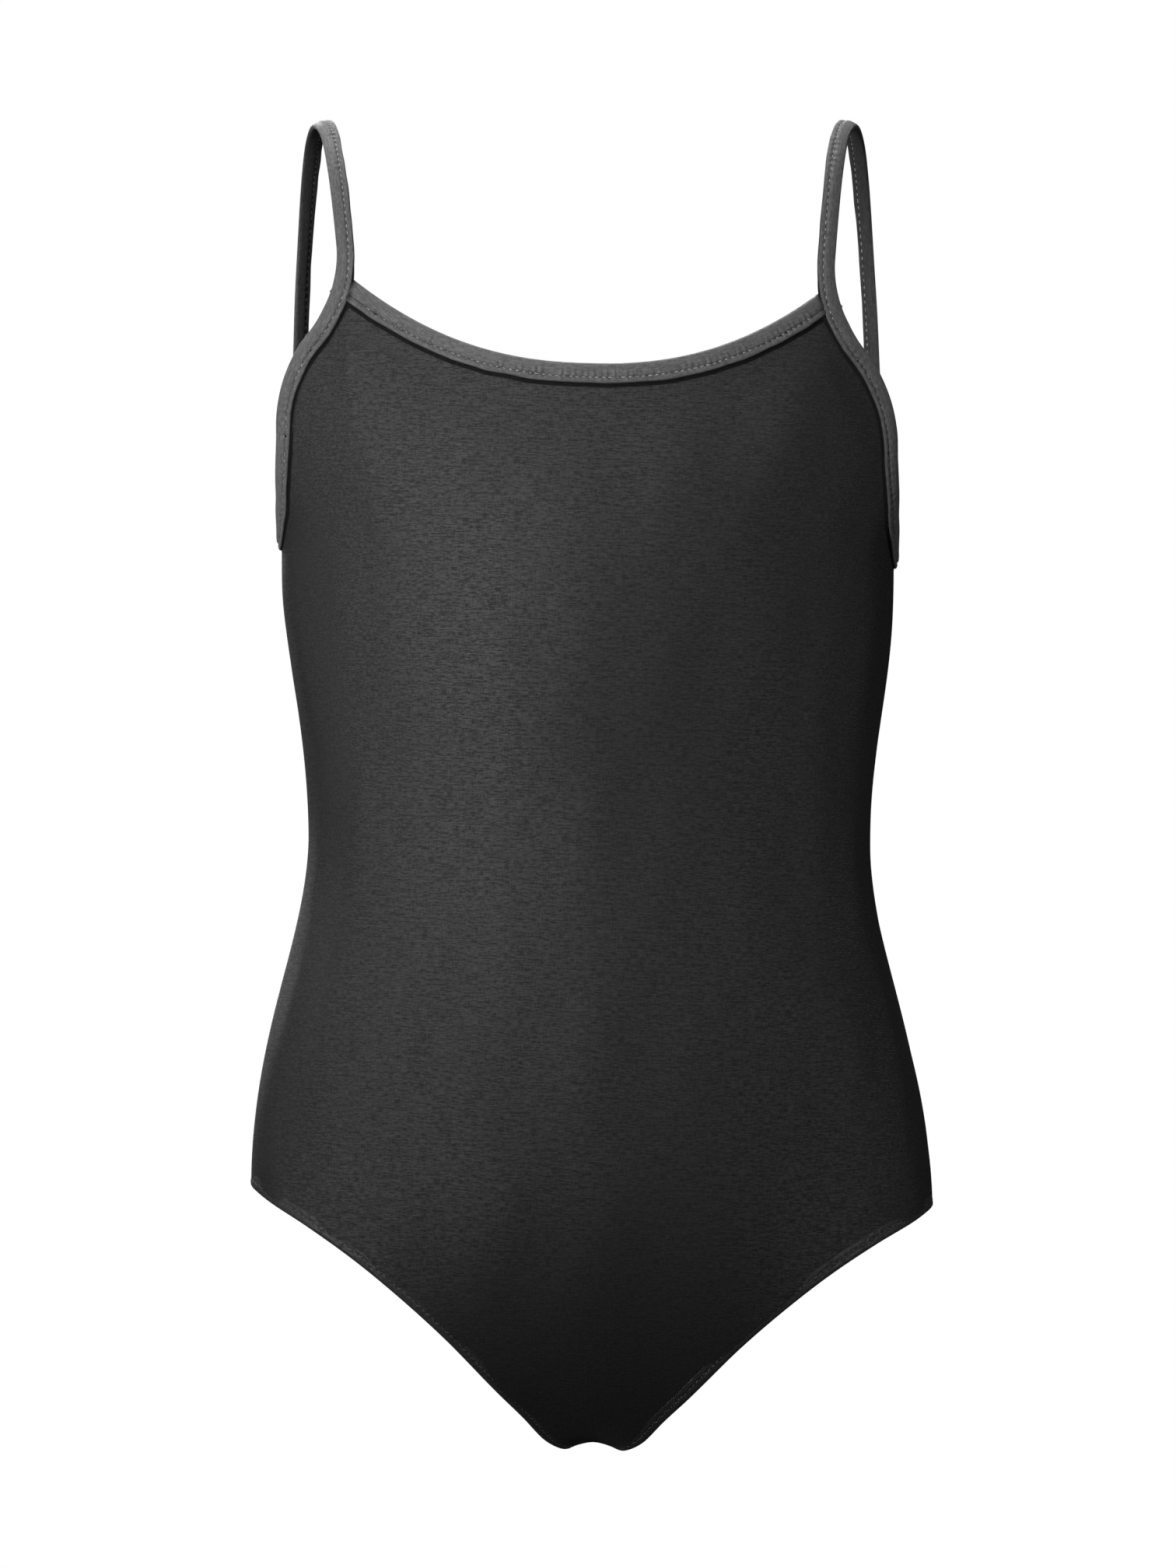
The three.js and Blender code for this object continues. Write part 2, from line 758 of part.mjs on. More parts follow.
function addPiece(name, geometry, finish) {
  const mesh = new THREE.Mesh(geometry, new THREE.MeshStandardMaterial(finish));
  mesh.name = name;
  leotard.add(mesh);
}

addPiece('front_panel', cloth(frontPanelRows, 0, panelThickness), jersey);
addPiece('back_panel', cloth(backPanelRows, 0, panelThickness), jersey);

const necks = [
  { name: 'front', edge: frontNeck, skew: neckEndSkew },
  { name: 'back', edge: backNeck, skew: backNeckEndSkew },
];
for (const { name, edge, skew } of necks) {
  addPiece(`neck_binding_${name}`, edgeStrip(edge, bindingSection, { skew }), binding);
  addPiece(`neck_elastic_${name}`, edgeStrip(edge, bindingElasticSection, { skew }), elastic);
  addPiece(`neck_stitching_${name}`, edgeStrip(edge, threadSection(neckStitch, bindingHalf), { skew }), thread);
}

const sides = [
  { name: 'left', hand: -1 },
  { name: 'right', hand: 1 },
];
const seamInner = -(seamStandoff + seamThickness);
const seamTop = backRound(underarmLevel - bindingWidth - hemGap);
const seamRounds = backPanelRows.map((row) => row.at(-1).round).filter((round) => round > seamTop);
const sideSeamEdge = [seamTop, ...seamRounds.slice(0, torsoRows)]
  .reverse()
  .map((round) => ({ angle: quarterTurn, round, along: new THREE.Vector3(0, 0, 1) }));
for (const { name, hand } of sides) {
  const mirror = { hand };
  const ring = { hand, closed: true };
  addPiece(`armhole_binding_${name}`, edgeStrip(armhole, bindingSection, mirror), binding);
  addPiece(`armhole_elastic_${name}`, edgeStrip(armhole, bindingElasticSection, mirror), elastic);
  addPiece(
    `armhole_stitching_${name}`,
    edgeStrip(armhole, threadSection(neckStitch, bindingHalf), mirror),
    thread,
  );
  addPiece(`strap_${name}`, strapStrip(strapSection, hand), binding);
  addPiece(`strap_elastic_${name}`, strapStrip(strapElasticSection, hand, layerGap), elastic);
  addPiece(
    `strap_stitching_${name}`,
    strapStrip(threadSection(strapStitch, bindingHalf), hand, layerGap),
    thread,
  );
  addPiece(`leg_hem_${name}`, edgeStrip(legLoop, hemSection, ring), jersey);
  addPiece(`leg_elastic_${name}`, edgeStrip(legLoop, hemElasticSection, ring), elastic);
  addPiece(
    `leg_stitching_${name}`,
    edgeStrip(legLoop, threadSection(hemStitch, panelThickness / 2), ring),
    thread,
  );
  addPiece(
    `side_seam_${name}`,
    edgeStrip(sideSeamEdge, rectangle(hemGap, seamWidth, seamInner, -seamStandoff), mirror),
    thread,
  );
}

const lined = liningRows();
const crotchAngle = Math.asin((gussetHalf - liningInset) / hipHalf);
const liningInner = -(liningStandoff + panelThickness / 2 + layerGap);
addPiece('gusset_lining', cloth(lined, -liningStandoff, panelThickness), lining);
addPiece(
  'crotch_seam',
  crossStrip(crotchRound, crotchAngle, -seamWidth / 2, seamWidth / 2, seamInner, -seamStandoff),
  thread,
);
const gussetSeams = [
  { name: 'front', row: lined[0], inset: gussetSeamInset },
  { name: 'back', row: lined.at(-1), inset: -gussetSeamInset },
];
for (const { name, row, inset } of gussetSeams) {
  const strip = crossStrip(
    row[0].round,
    row.at(-1).angle - gussetSeamTrim,
    inset - gussetSeamWidth / 2,
    inset + gussetSeamWidth / 2,
    liningInner - threadSize,
    liningInner,
  );
  addPiece(`gusset_seam_${name}`, strip, thread);
}

const sizeLabelStandoff = -(bindingHalf + layerGap + labelThickness / 2);
const sizeLabelAngle = sizeLabelWidth / 2 / chestHalf;
addPiece(
  'size_label',
  patch(
    -sizeLabelAngle,
    sizeLabelAngle,
    backRound(backNeckLowLevel - sizeLabelDrop),
    backRound(backNeckLowLevel - sizeLabelDrop - sizeLabelHeight),
    sizeLabelStandoff,
    labelThickness,
  ),
  label,
);
const careLabelAngle = quarterTurn - careLabelWidth / backDepth.seat;
addPiece(
  'care_label',
  patch(
    careLabelAngle,
    quarterTurn,
    backRound(careLabelLevel),
    backRound(careLabelLevel - careLabelHeight),
    seamInner - layerGap - labelThickness / 2,
    labelThickness,
    -1,
  ),
  label,
);

export default leotard;
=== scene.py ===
"""Camisole gymnastics leotard: cloth, folded bindings, stitches and trim, dressed on its CAD frame."""
import json
import logging
import math
from collections.abc import Callable
from dataclasses import dataclass
from enum import Enum

import bpy
import numpy as np
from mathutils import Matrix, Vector
from mathutils.kdtree import KDTree


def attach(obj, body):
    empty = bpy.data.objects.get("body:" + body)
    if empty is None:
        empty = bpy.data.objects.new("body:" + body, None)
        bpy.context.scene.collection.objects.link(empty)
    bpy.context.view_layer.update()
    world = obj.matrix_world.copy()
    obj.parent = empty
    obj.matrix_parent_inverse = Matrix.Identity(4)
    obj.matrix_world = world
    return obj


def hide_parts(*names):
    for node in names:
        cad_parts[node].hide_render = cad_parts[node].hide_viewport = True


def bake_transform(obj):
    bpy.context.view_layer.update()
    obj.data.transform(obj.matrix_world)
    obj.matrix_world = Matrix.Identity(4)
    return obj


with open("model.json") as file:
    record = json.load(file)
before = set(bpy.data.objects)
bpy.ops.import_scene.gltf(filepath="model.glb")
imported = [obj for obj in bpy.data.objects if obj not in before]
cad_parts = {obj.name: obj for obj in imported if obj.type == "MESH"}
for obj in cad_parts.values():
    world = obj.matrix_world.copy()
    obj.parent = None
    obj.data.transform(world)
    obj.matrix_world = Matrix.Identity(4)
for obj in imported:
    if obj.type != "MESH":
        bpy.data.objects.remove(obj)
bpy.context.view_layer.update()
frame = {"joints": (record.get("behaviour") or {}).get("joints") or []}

LOG = logging.getLogger("leotard")
MM = 0.001  # the body is worked out in millimetres, the scene is in metres
QUARTER = math.pi / 2
GARMENT = "garment"
FINE_PLACES = 1600  # places laid along an edge before it is cut into even steps

Array = np.ndarray
EdgeLine = Callable[[Array], tuple[Array, Array]]


class Side(Enum):
    """The two sides of the garment, as seen from the front."""

    LEFT = -1
    RIGHT = 1

    @property
    def label(self) -> str:
        """The side's name as the CAD nodes spell it."""
        return self.name.lower()


class Face(Enum):
    """The two faces of a strip of cloth."""

    OUTSIDE = 1
    INSIDE = -1


# ---------- Small sums ----------


def lerp(start: float | Array, end: float | Array, part: float | Array) -> float | Array:
    """Return the value that lies `part` of the way from start to end."""
    return start + (end - start) * part


def share(value: Array, start: float, end: float) -> Array:
    """Return how far value lies from start to end, held between 0 and 1."""
    return np.clip((value - start) / (end - start), 0.0, 1.0)


def ease(part: Array) -> Array:
    """Return part with a slow start and a slow end."""
    return (1 - np.cos(math.pi * np.clip(part, 0.0, 1.0))) / 2


def smooth(value: Array, start: float, end: float) -> Array:
    """Return the smooth step of value between start and end."""
    part = share(value, start, end)
    return part * part * (3 - 2 * part)


def unit(vectors: Array) -> Array:
    """Return the vectors with length one."""
    return vectors / np.linalg.norm(vectors, axis=-1, keepdims=True)


def hump(value: Array, middle: float, spread: float) -> Array:
    """Return a bell of height one around middle."""
    return np.exp(-(((value - middle) / spread) ** 2))


def run_lengths(points: Array) -> Array:
    """Return the distance run along a line of points, from 0 at its first."""
    steps = np.linalg.norm(np.diff(points, axis=0), axis=1)
    return np.concatenate([[0.0], np.cumsum(steps)])


def soft_noise(count: int, smoothing: float, seed: int) -> Array:
    """Return seeded noise around a loop, about one high.

    Args:
        count: How many values.
        smoothing: How many neighbours each value is averaged over.
        seed: The seed of the draws.

    Returns:
        The values, which join up from the last to the first.
    """
    raw = np.random.default_rng(seed).normal(size=count)
    cycles = np.fft.rfftfreq(count)
    kept = np.fft.rfft(raw) * np.exp(-((cycles * smoothing) ** 2))
    made = np.fft.irfft(kept, count)
    return made / max(float(np.std(made)), 1e-9)


# ---------- The body that the garment is worn on ----------


@dataclass(frozen=True)
class Depth:
    """How far the cloth lies in front of, or behind, the middle of the body, in millimetres."""

    shoulder: float
    chest: float
    waist: float
    seat: float


@dataclass(frozen=True)
class BodyForm:
    """The shape that the garment takes when it is worn, in millimetres.

    A place on it is an angle from the centre line and a distance round: the level down the front, on
    under the seat and up the back, where it goes on falling.
    """

    apex: float = -70.0
    back_apex: float = -120.0
    neck_low: float = -105.2
    back_neck_low: float = -190.0
    underarm: float = -176.0
    chest: float = -186.0
    waist: float = -304.0
    seat: float = -430.0
    hip: float = -452.0
    crotch: float = -554.0
    chest_half: float = 127.8
    waist_half: float = 117.0
    hip_half: float = 142.2
    shoulder_flare: float = 30.0
    flare_rise: float = 45.0
    hip_fullness: float = 0.86
    shoulder_slope: float = 1.5
    front: Depth = Depth(66.0, 90.0, 82.0, 88.0)
    back: Depth = Depth(80.0, 92.0, 80.0, 110.0)
    gusset_half: float = 13.0
    lobe_drop: float = 4.0
    lobe_start: float = 0.72
    lobe_spread: float = 16.9
    side_lift: float = 0.03
    side_drift: float = -0.0065
    lift_onset: float = 70.0

    @property
    def seat_drop(self) -> float:
        """The height of the curve under the seat."""
        return self.seat - self.crotch

    @property
    def seat_arc(self) -> float:
        """The distance round from the seat to the crotch."""
        return QUARTER * (self.seat_drop + (self.front.seat + self.back.seat) / 2) / 2

    @property
    def crotch_round(self) -> float:
        """The distance round at the crotch."""
        return self.seat - self.seat_arc

    def behind(self, level: float | Array) -> float | Array:
        """Return the distance round of a level on the back."""
        return 2 * self.crotch_round - level

    def half_width(self, level: Array) -> Array:
        """Return half the width across the body at a level."""
        rise = (np.maximum(level - self.chest, 0.0) / self.flare_rise) ** 2
        above = self.chest_half + self.shoulder_flare * rise / (1 + rise)
        middle = lerp(self.chest_half, self.waist_half, ease(share(level, self.chest, self.waist)))
        fullness = share(level, self.waist, self.hip) ** self.hip_fullness
        below = lerp(self.waist_half, self.hip_half, ease(fullness))
        return np.where(level > self.chest, above, np.where(level > self.waist, middle, below))

    def torso_depth(self, depth: Depth, level: Array) -> Array:
        """Return how far the cloth lies from the middle of the body, above the seat."""
        rise = share(level, self.chest, self.apex) ** self.shoulder_slope
        above = lerp(depth.chest, depth.shoulder, rise)
        middle = lerp(depth.chest, depth.waist, ease(share(level, self.chest, self.waist)))
        below = lerp(depth.waist, depth.seat, ease(share(level, self.waist, self.seat)))
        return np.where(level > self.chest, above, np.where(level > self.waist, middle, below))

    def point(self, angle: Array, way: Array) -> Array:
        """Return the points of the body at places.

        Args:
            angle: Angles from the centre line.
            way: Distances round.

        Returns:
            One point for each place.
        """
        in_front = way >= self.crotch_round
        climb = np.where(in_front, way, self.behind(way))
        turn = np.maximum(0.0, self.seat - climb) / self.seat_arc * QUARTER
        turned = climb <= self.seat
        level = np.where(turned, self.seat - self.seat_drop * np.sin(turn), climb)
        before = np.where(turned, self.front.seat * np.cos(turn), self.torso_depth(self.front, climb))
        after = np.where(turned, self.back.seat * np.cos(turn), self.torso_depth(self.back, climb))
        x = self.half_width(level) * np.sin(angle)
        y = np.where(in_front, -before, after) * np.cos(angle)
        lobe = smooth(turn, self.lobe_start * QUARTER, QUARTER)
        hang = self.lobe_drop * lobe * smooth(np.abs(x), 0.0, self.lobe_spread)
        return np.stack([x, y, level - hang], axis=-1)

    def slopes(self, angle: Array, way: Array) -> tuple[Array, Array]:
        """Return how the surface runs with the angle and with the distance round."""
        turn, step = 1e-4, 1e-2
        across = (self.point(angle + turn, way) - self.point(angle - turn, way)) / (2 * turn)
        down = (self.point(angle, way + step) - self.point(angle, way - step)) / (2 * step)
        return across, down

    def outward(self, angle: Array, way: Array) -> Array:
        """Return the directions that point out of the body."""
        across, down = self.slopes(angle, way)
        return unit(np.cross(across, down))

    def off_body(self, angle: Array, way: Array, height: float | Array) -> Array:
        """Return points at a height off the body."""
        lift = np.asarray(height, float)[..., None]
        return self.point(angle, way) + self.outward(angle, way) * lift

    def into_fabric(self, angle: Array, way: Array, along: Array, distance: float) -> tuple[Array, Array]:
        """Return the places that lie a distance from an edge, straight into the fabric.

        Args:
            angle: Angles of the edge's places.
            way: Their distances round.
            along: The direction of the edge at each.
            distance: How far in, in millimetres.

        Returns:
            The angles and distances round of the new places.
        """
        across, down = self.slopes(angle, way)
        inward = unit(np.cross(along, unit(np.cross(across, down))))
        aa, dd, ad = (np.sum(p * q, -1) for p, q in ((across, across), (down, down), (across, down)))
        on_across, on_down = np.sum(inward * across, -1), np.sum(inward * down, -1)
        whole = aa * dd - ad * ad
        angle_part = (dd * on_across - ad * on_down) / whole
        way_part = (aa * on_down - ad * on_across) / whole
        return angle + distance * angle_part, way + distance * way_part

    def worn(self, points: Array) -> Array:
        """Return points as the garment hangs: a little higher on one side, a little over below."""
        onset = smooth(-points[..., 2], 0.0, self.lift_onset)
        made = points.copy()
        made[..., 0] += self.side_drift * points[..., 2]
        made[..., 2] -= self.side_lift * onset * points[..., 0]
        return made


BODY = BodyForm()


# ---------- Edges of the cloth ----------


def spline(points: Array, part: Array) -> Array:
    """Return points on the even Catmull-Rom curve through some points.

    Args:
        points: The points, one to a row.
        part: Shares of the way along, by span.

    Returns:
        One point for each share.
    """
    last = len(points) - 1
    at = np.clip(part, 0.0, 1.0) * last
    span = np.minimum(at.astype(int), last - 1)
    t = (at - span)[..., None]
    before = points[np.maximum(span - 1, 0)]
    start, end = points[span], points[span + 1]
    after = points[np.minimum(span + 2, last)]
    leave, arrive = (end - before) / 2, (after - start) / 2
    cubic = (2 * start - 2 * end + leave + arrive) * t**3
    square = (3 * end - 3 * start - 2 * leave - arrive) * t**2
    return cubic + square + leave * t + start


@dataclass(frozen=True)
class Pattern:
    """Where the cloth is cut: its neckline, armholes and leg openings, in millimetres and degrees."""

    body: BodyForm = BODY
    neck_half: float = 95.1
    neck_curve: float = 2.3
    neck_top: float = -73.6
    back_neck_half: float = 116.5
    back_neck_curve: float = 2.0
    back_neck_top: float = -122.0
    beyond_gusset: tuple[float, float, float] = (8.9, 22.8, 47.8)
    nominal_hip_turn: float = 10.2

    def on_level(self, x: Array, level: Array, behind: bool) -> tuple[Array, Array]:
        """Return the places at a distance across and a level, in front or behind."""
        angle = np.arcsin(x / self.body.half_width(level))
        return angle, self.body.behind(level) if behind else level

    def front_neck(self, t: Array) -> tuple[Array, Array]:
        """Return places on the front neckline."""
        side = 2 * t - 1
        level = lerp(self.body.neck_low, self.neck_top, np.abs(side) ** self.neck_curve)
        return self.on_level(side * self.neck_half, level, False)

    def back_neck(self, t: Array) -> tuple[Array, Array]:
        """Return places on the back neckline."""
        side = 1 - 2 * t
        level = lerp(self.body.back_neck_low, self.back_neck_top, np.abs(side) ** self.back_neck_curve)
        return self.on_level(side * self.back_neck_half, level, True)

    def armhole(self, t: Array) -> tuple[Array, Array]:
        """Return places on the armhole, from the front strap under the arm to the back strap."""
        outline = np.array(
            [
                (41.5, 1), (46.8, 0.82), (52.6, 0.7), (57.6, 0.575), (61.4, 0.453), (64.6, 0.33),
                (69.8, 0.208), (77, 0.095), (90, 0), (103, 0.165), (110, 0.375), (115.5, 0.607),
                (119, 0.804), (123, 1),
            ]
        )  # fmt: skip
        made = spline(outline, np.asarray(t, float))
        angle, rise = made[..., 0], made[..., 1]
        front = angle <= 90
        turned = np.radians(np.where(front, angle, 180 - angle))
        body = self.body
        before = lerp(body.underarm, body.apex, rise)
        after = body.behind(lerp(body.underarm, body.back_apex, rise))
        return turned, np.where(front, before, after)

    def leg_outline(self) -> Array:
        """Return the leg edge as angles from the centre line and angles turned under the seat."""
        body = self.body
        turn = math.degrees(math.asin((body.seat - body.hip) / body.seat_drop))
        late = self.nominal_hip_turn - turn
        gusset, near, middle, far = (
            math.degrees(math.asin((body.gusset_half + past) / body.hip_half))
            for past in (0.0, *self.beyond_gusset)
        )
        return np.array(
            [
                (105, turn + 1.1), (90, turn), (75, turn + 1.6), (56, turn + 7), (39.6, 26.6),
                (far, 41), (middle, 59.8), (near, 76.4), (gusset, 90), (near, 105), (middle, 123),
                (far, 141.5), (39.6, 155.5), (56, 164.5 + late), (75, 168.8 + late),
                (90, 180 - turn), (105, 168.8 + late),
            ]
        )  # fmt: skip

    def leg(self, t: Array) -> tuple[Array, Array]:
        """Return places on the leg edge: from the side down the front, and up the back again."""
        outline = self.leg_outline()
        spans = len(outline) - 1
        made = spline(outline, lerp(1 / spans, 1 - 1 / spans, np.asarray(t, float)))
        turn = made[..., 1]
        climb = self.body.seat - self.body.seat_arc * np.minimum(turn, 180 - turn) / 90
        way = np.where(turn <= 90, climb, self.body.behind(climb))
        return np.radians(made[..., 0]), way

    @property
    def leg_at_crotch(self) -> float:
        """The share of the leg edge at which it passes the crotch."""
        spans = len(self.leg_outline()) - 1
        return (spans / 2 - 1) / (spans - 2)


PATTERN = Pattern()


@dataclass(frozen=True)
class Edge:
    """A run of places along an edge, with the direction of the edge at each."""

    angle: Array
    way: Array
    along: Array

    @classmethod
    def evenly(cls, line: EdgeLine, step: float, start: float = 0.0, end: float = 1.0) -> "Edge":
        """Lay places at even distances along a line.

        Args:
            line: Gives the places for shares of the way.
            step: About how far apart they lie, in millimetres.
            start: The share where they begin.
            end: The share where they end.

        Returns:
            The edge.
        """
        fine = np.linspace(start, end, FINE_PLACES)
        run = run_lengths(BODY.point(*line(fine)))
        count = max(3, round(float(run[-1]) / step) + 1)
        t = np.interp(np.linspace(0.0, run[-1], count), run, fine)
        nudge = (end - start) * 1e-4
        along = unit(BODY.point(*line(t + nudge)) - BODY.point(*line(t - nudge)))
        angle, way = line(t)
        return cls(angle, way, along)

    def inset(self, distance: float) -> tuple[Array, Array]:
        """Return the places a distance into the fabric."""
        return BODY.into_fabric(self.angle, self.way, self.along, distance)


# ---------- Ribbons: anything long and narrow that follows a line ----------


@dataclass
class Ribbon:
    """The middle line of a strip with its frame, in millimetres, before the garment is worn.

    Attributes:
        middle: The middle of the strip at each station.
        across: The direction across it, towards its folded edge.
        outward: The direction off the cloth.
        width: Its width.
        backed: How far cloth lies in the fold, from 0 on a strap to 1 on a panel's edge.
        closed: Whether it joins up into a loop.
    """

    middle: Array
    across: Array
    outward: Array
    width: Array
    backed: Array
    closed: bool = False

    @classmethod
    def on_edge(cls, edge: Edge, start: float, end: float) -> "Ribbon":
        """Lay a strip along an edge of the cloth, between two distances into the fabric."""
        middle_at = edge.inset((start + end) / 2)
        outer, inner = BODY.point(*edge.inset(start)), BODY.point(*edge.inset(end))
        across, outward = unit(outer - inner), BODY.outward(*middle_at)
        width = np.full(len(across), end - start)
        return cls((outer + inner) / 2, across, outward, width, np.ones(len(across)))

    @classmethod
    def unpacked(cls, columns: Array, closed: bool = False) -> "Ribbon":
        """Return the ribbon whose columns lie side by side."""
        middle, across, outward = columns[:, :3], columns[:, 3:6], columns[:, 6:9]
        return cls(middle, across, outward, columns[:, 9], columns[:, 10], closed)

    def packed(self) -> Array:
        """Return all the columns of the ribbon side by side."""
        return np.column_stack([self.middle, self.across, self.outward, self.width, self.backed])

    def finely(self, step: float) -> "Ribbon":
        """Return the same ribbon with stations about a step apart, on a smooth curve."""
        made = self.packed()
        if self.closed:
            made = np.vstack([made[-2:], made, made[:3]])
        run = run_lengths(made[:, :3])
        slope = np.gradient(made, run, axis=0)
        low, high = (run[2], run[len(self.middle) + 2]) if self.closed else (0.0, run[-1])
        count = max(3, round(float(high - low) / step))
        at = np.linspace(low, high, count, endpoint=not self.closed)
        span = np.clip(np.searchsorted(run, at, side="right") - 1, 0, len(run) - 2)
        gap = (run[span + 1] - run[span])[:, None]
        t = (at - run[span])[:, None] / gap
        start, end, leave, arrive = made[span], made[span + 1], slope[span] * gap, slope[span + 1] * gap
        found = (
            (2 * t**3 - 3 * t**2 + 1) * start
            + (t**3 - 2 * t**2 + t) * leave
            + (3 * t**2 - 2 * t**3) * end
            + (t**3 - t**2) * arrive
        )
        smoothed = Ribbon.unpacked(found, self.closed)
        across, outward = unit(smoothed.across), smoothed.outward
        outward = unit(outward - across * np.sum(outward * across, -1)[:, None])
        backed = np.clip(smoothed.backed, 0.0, 1.0)
        return Ribbon(smoothed.middle, across, outward, smoothed.width, backed, self.closed)

    def run(self) -> Array:
        """Return the distance along at each station, and once more at the end of a loop."""
        points = np.vstack([self.middle, self.middle[:1]]) if self.closed else self.middle
        return run_lengths(points)

    def places(self, part: Array, height: Array) -> Array:
        """Return points across the ribbon: shares of its width in from the fold, and heights."""
        lift = height[..., None]
        reach = (self.width[:, None] * (0.5 - part))[..., None]
        return self.middle[:, None] + self.across[:, None] * reach + self.outward[:, None] * lift

    def part_of(self, kept: Array) -> "Ribbon":
        """Return the stations that are kept, as an open ribbon."""
        return Ribbon.unpacked(self.packed()[kept])


# ---------- Meshes ----------


def as_worn(points: Array, side: Side | None) -> Array:
    """Return points of the right-hand half, or of the whole, in metres and as the garment hangs."""
    made = points.copy()
    if side is not None:
        made[..., 0] *= side.value
    return BODY.worn(made) * MM


def new_object(name: str, points: Array, faces: list[list[int]]) -> bpy.types.Object:
    """Make a closed mesh object whose faces point outwards.

    Args:
        name: The piece's name.
        points: Its points, in metres.
        faces: Its faces, all wound one way.

    Returns:
        The object, smooth and without a material.
    """
    fan = np.array([(f[0], f[k], f[k + 1]) for f in faces for k in range(1, len(f) - 1)])
    middle = points.mean(axis=0)
    a, b, c = (points[fan[:, i]] - middle for i in range(3))
    turned = float(np.sum(a * np.cross(b, c))) < 0
    mesh = bpy.data.meshes.new(name)
    mesh.from_pydata(points.tolist(), [], [f[::-1] for f in faces] if turned else faces)
    mesh.update()
    mesh.shade_smooth()
    made = bpy.data.objects.new(name, mesh)
    bpy.context.scene.collection.objects.link(made)
    return made


@dataclass
class Grid:
    """A sheet or tube of points in rows, with its own measure.

    Attributes:
        points: Points by row and column, in metres.
        measure: The cloth's own map in metres, with one row and one column more than the points.
        looped: Whether the last row joins the first.
        shade: How much painted shade each point gets, from 0 to 1, as darkening in a fold or crease.
    """

    points: Array
    measure: Array
    looped: bool
    shade: Array

    def build(self, name: str, ladder: bool = False) -> bpy.types.Object:
        """Make the closed tube whose sections are the rows.

        Args:
            name: The piece's name.
            ladder: Whether each end is closed like a ladder, for two layers of cloth.

        Returns:
            The object with its UV map in metres and its "shade" attribute.
        """
        rows, columns = self.points.shape[:2]
        count = rows if self.looped else rows - 1
        here = np.arange(count)[:, None] * columns
        after = (np.arange(count)[:, None] + 1) % rows * columns
        j = np.arange(columns)[None]
        k = (j + 1) % columns
        quads = np.stack([here + j, here + k, after + k, after + j], axis=-1).reshape(-1, 4)
        faces = quads.tolist()
        if not self.looped:
            last = (rows - 1) * columns
            if ladder:
                half = columns // 2
                for i in range(half - 1):
                    rung = [i, columns - 1 - i, columns - 2 - i, i + 1]
                    faces += [rung, [last + p for p in rung[::-1]]]
            else:
                faces += [list(range(columns))[::-1], [last + p for p in range(columns)]]
        made = new_object(name, self.points.reshape(-1, 3), faces)
        self._measure(made.data, rows, columns)
        shade = made.data.attributes.new("shade", "FLOAT", "POINT")
        shade.data.foreach_set("value", np.ascontiguousarray(self.shade, np.float32).ravel())
        return made

    def _measure(self, mesh: bpy.types.Mesh, rows: int, columns: int) -> None:
        """Give the mesh a UV map in metres: along, then across, with no jump at a join."""
        at = np.empty(len(mesh.loops), np.int32)
        mesh.loops.foreach_get("vertex_index", at)
        starts = np.empty(len(mesh.polygons), np.int32)
        totals = np.empty(len(mesh.polygons), np.int32)
        mesh.polygons.foreach_get("loop_start", starts)
        mesh.polygons.foreach_get("loop_total", totals)
        face = np.repeat(np.arange(len(totals)), totals)
        row, column = at // columns, at % columns
        top_row = np.maximum.reduceat(row, starts)[face]
        top_column = np.maximum.reduceat(column, starts)[face]
        row = np.where((row == 0) & (top_row == rows - 1) & self.looped, rows, row)
        wraps = (column == 0) & (top_column == columns - 1)
        column = np.where(wraps, columns, column)
        layer = mesh.uv_layers.new(name="cloth")
        layer.data.foreach_set("uv", self.measure[row, column].astype(np.float32).ravel())


def measured(along: Array, across: Array) -> Array:
    """Return the map of a strip from its distances along and across, in millimetres."""
    return np.stack(np.broadcast_arrays(along[:, None], across[None]), axis=-1) * MM


# ---------- Folded strips ----------

HeightOn = Callable[[Ribbon], Array]


def level_row(height: float) -> HeightOn:
    """Return a row of stitches that lies at one height all along."""
    return lambda fine: np.full(len(fine.middle), height)


@dataclass(frozen=True)
class Section:
    """One cut across a strip, from its inside edge round the fold and back through the gap.

    Attributes:
        part: Shares of the width in from the fold.
        height: Heights off the cloth, in millimetres.
        gather: How strongly the stitches lift and pull each point.
        shade: How much painted shade it gets, as in a crease.
    """

    part: Array
    height: Array
    gather: Array
    shade: Array


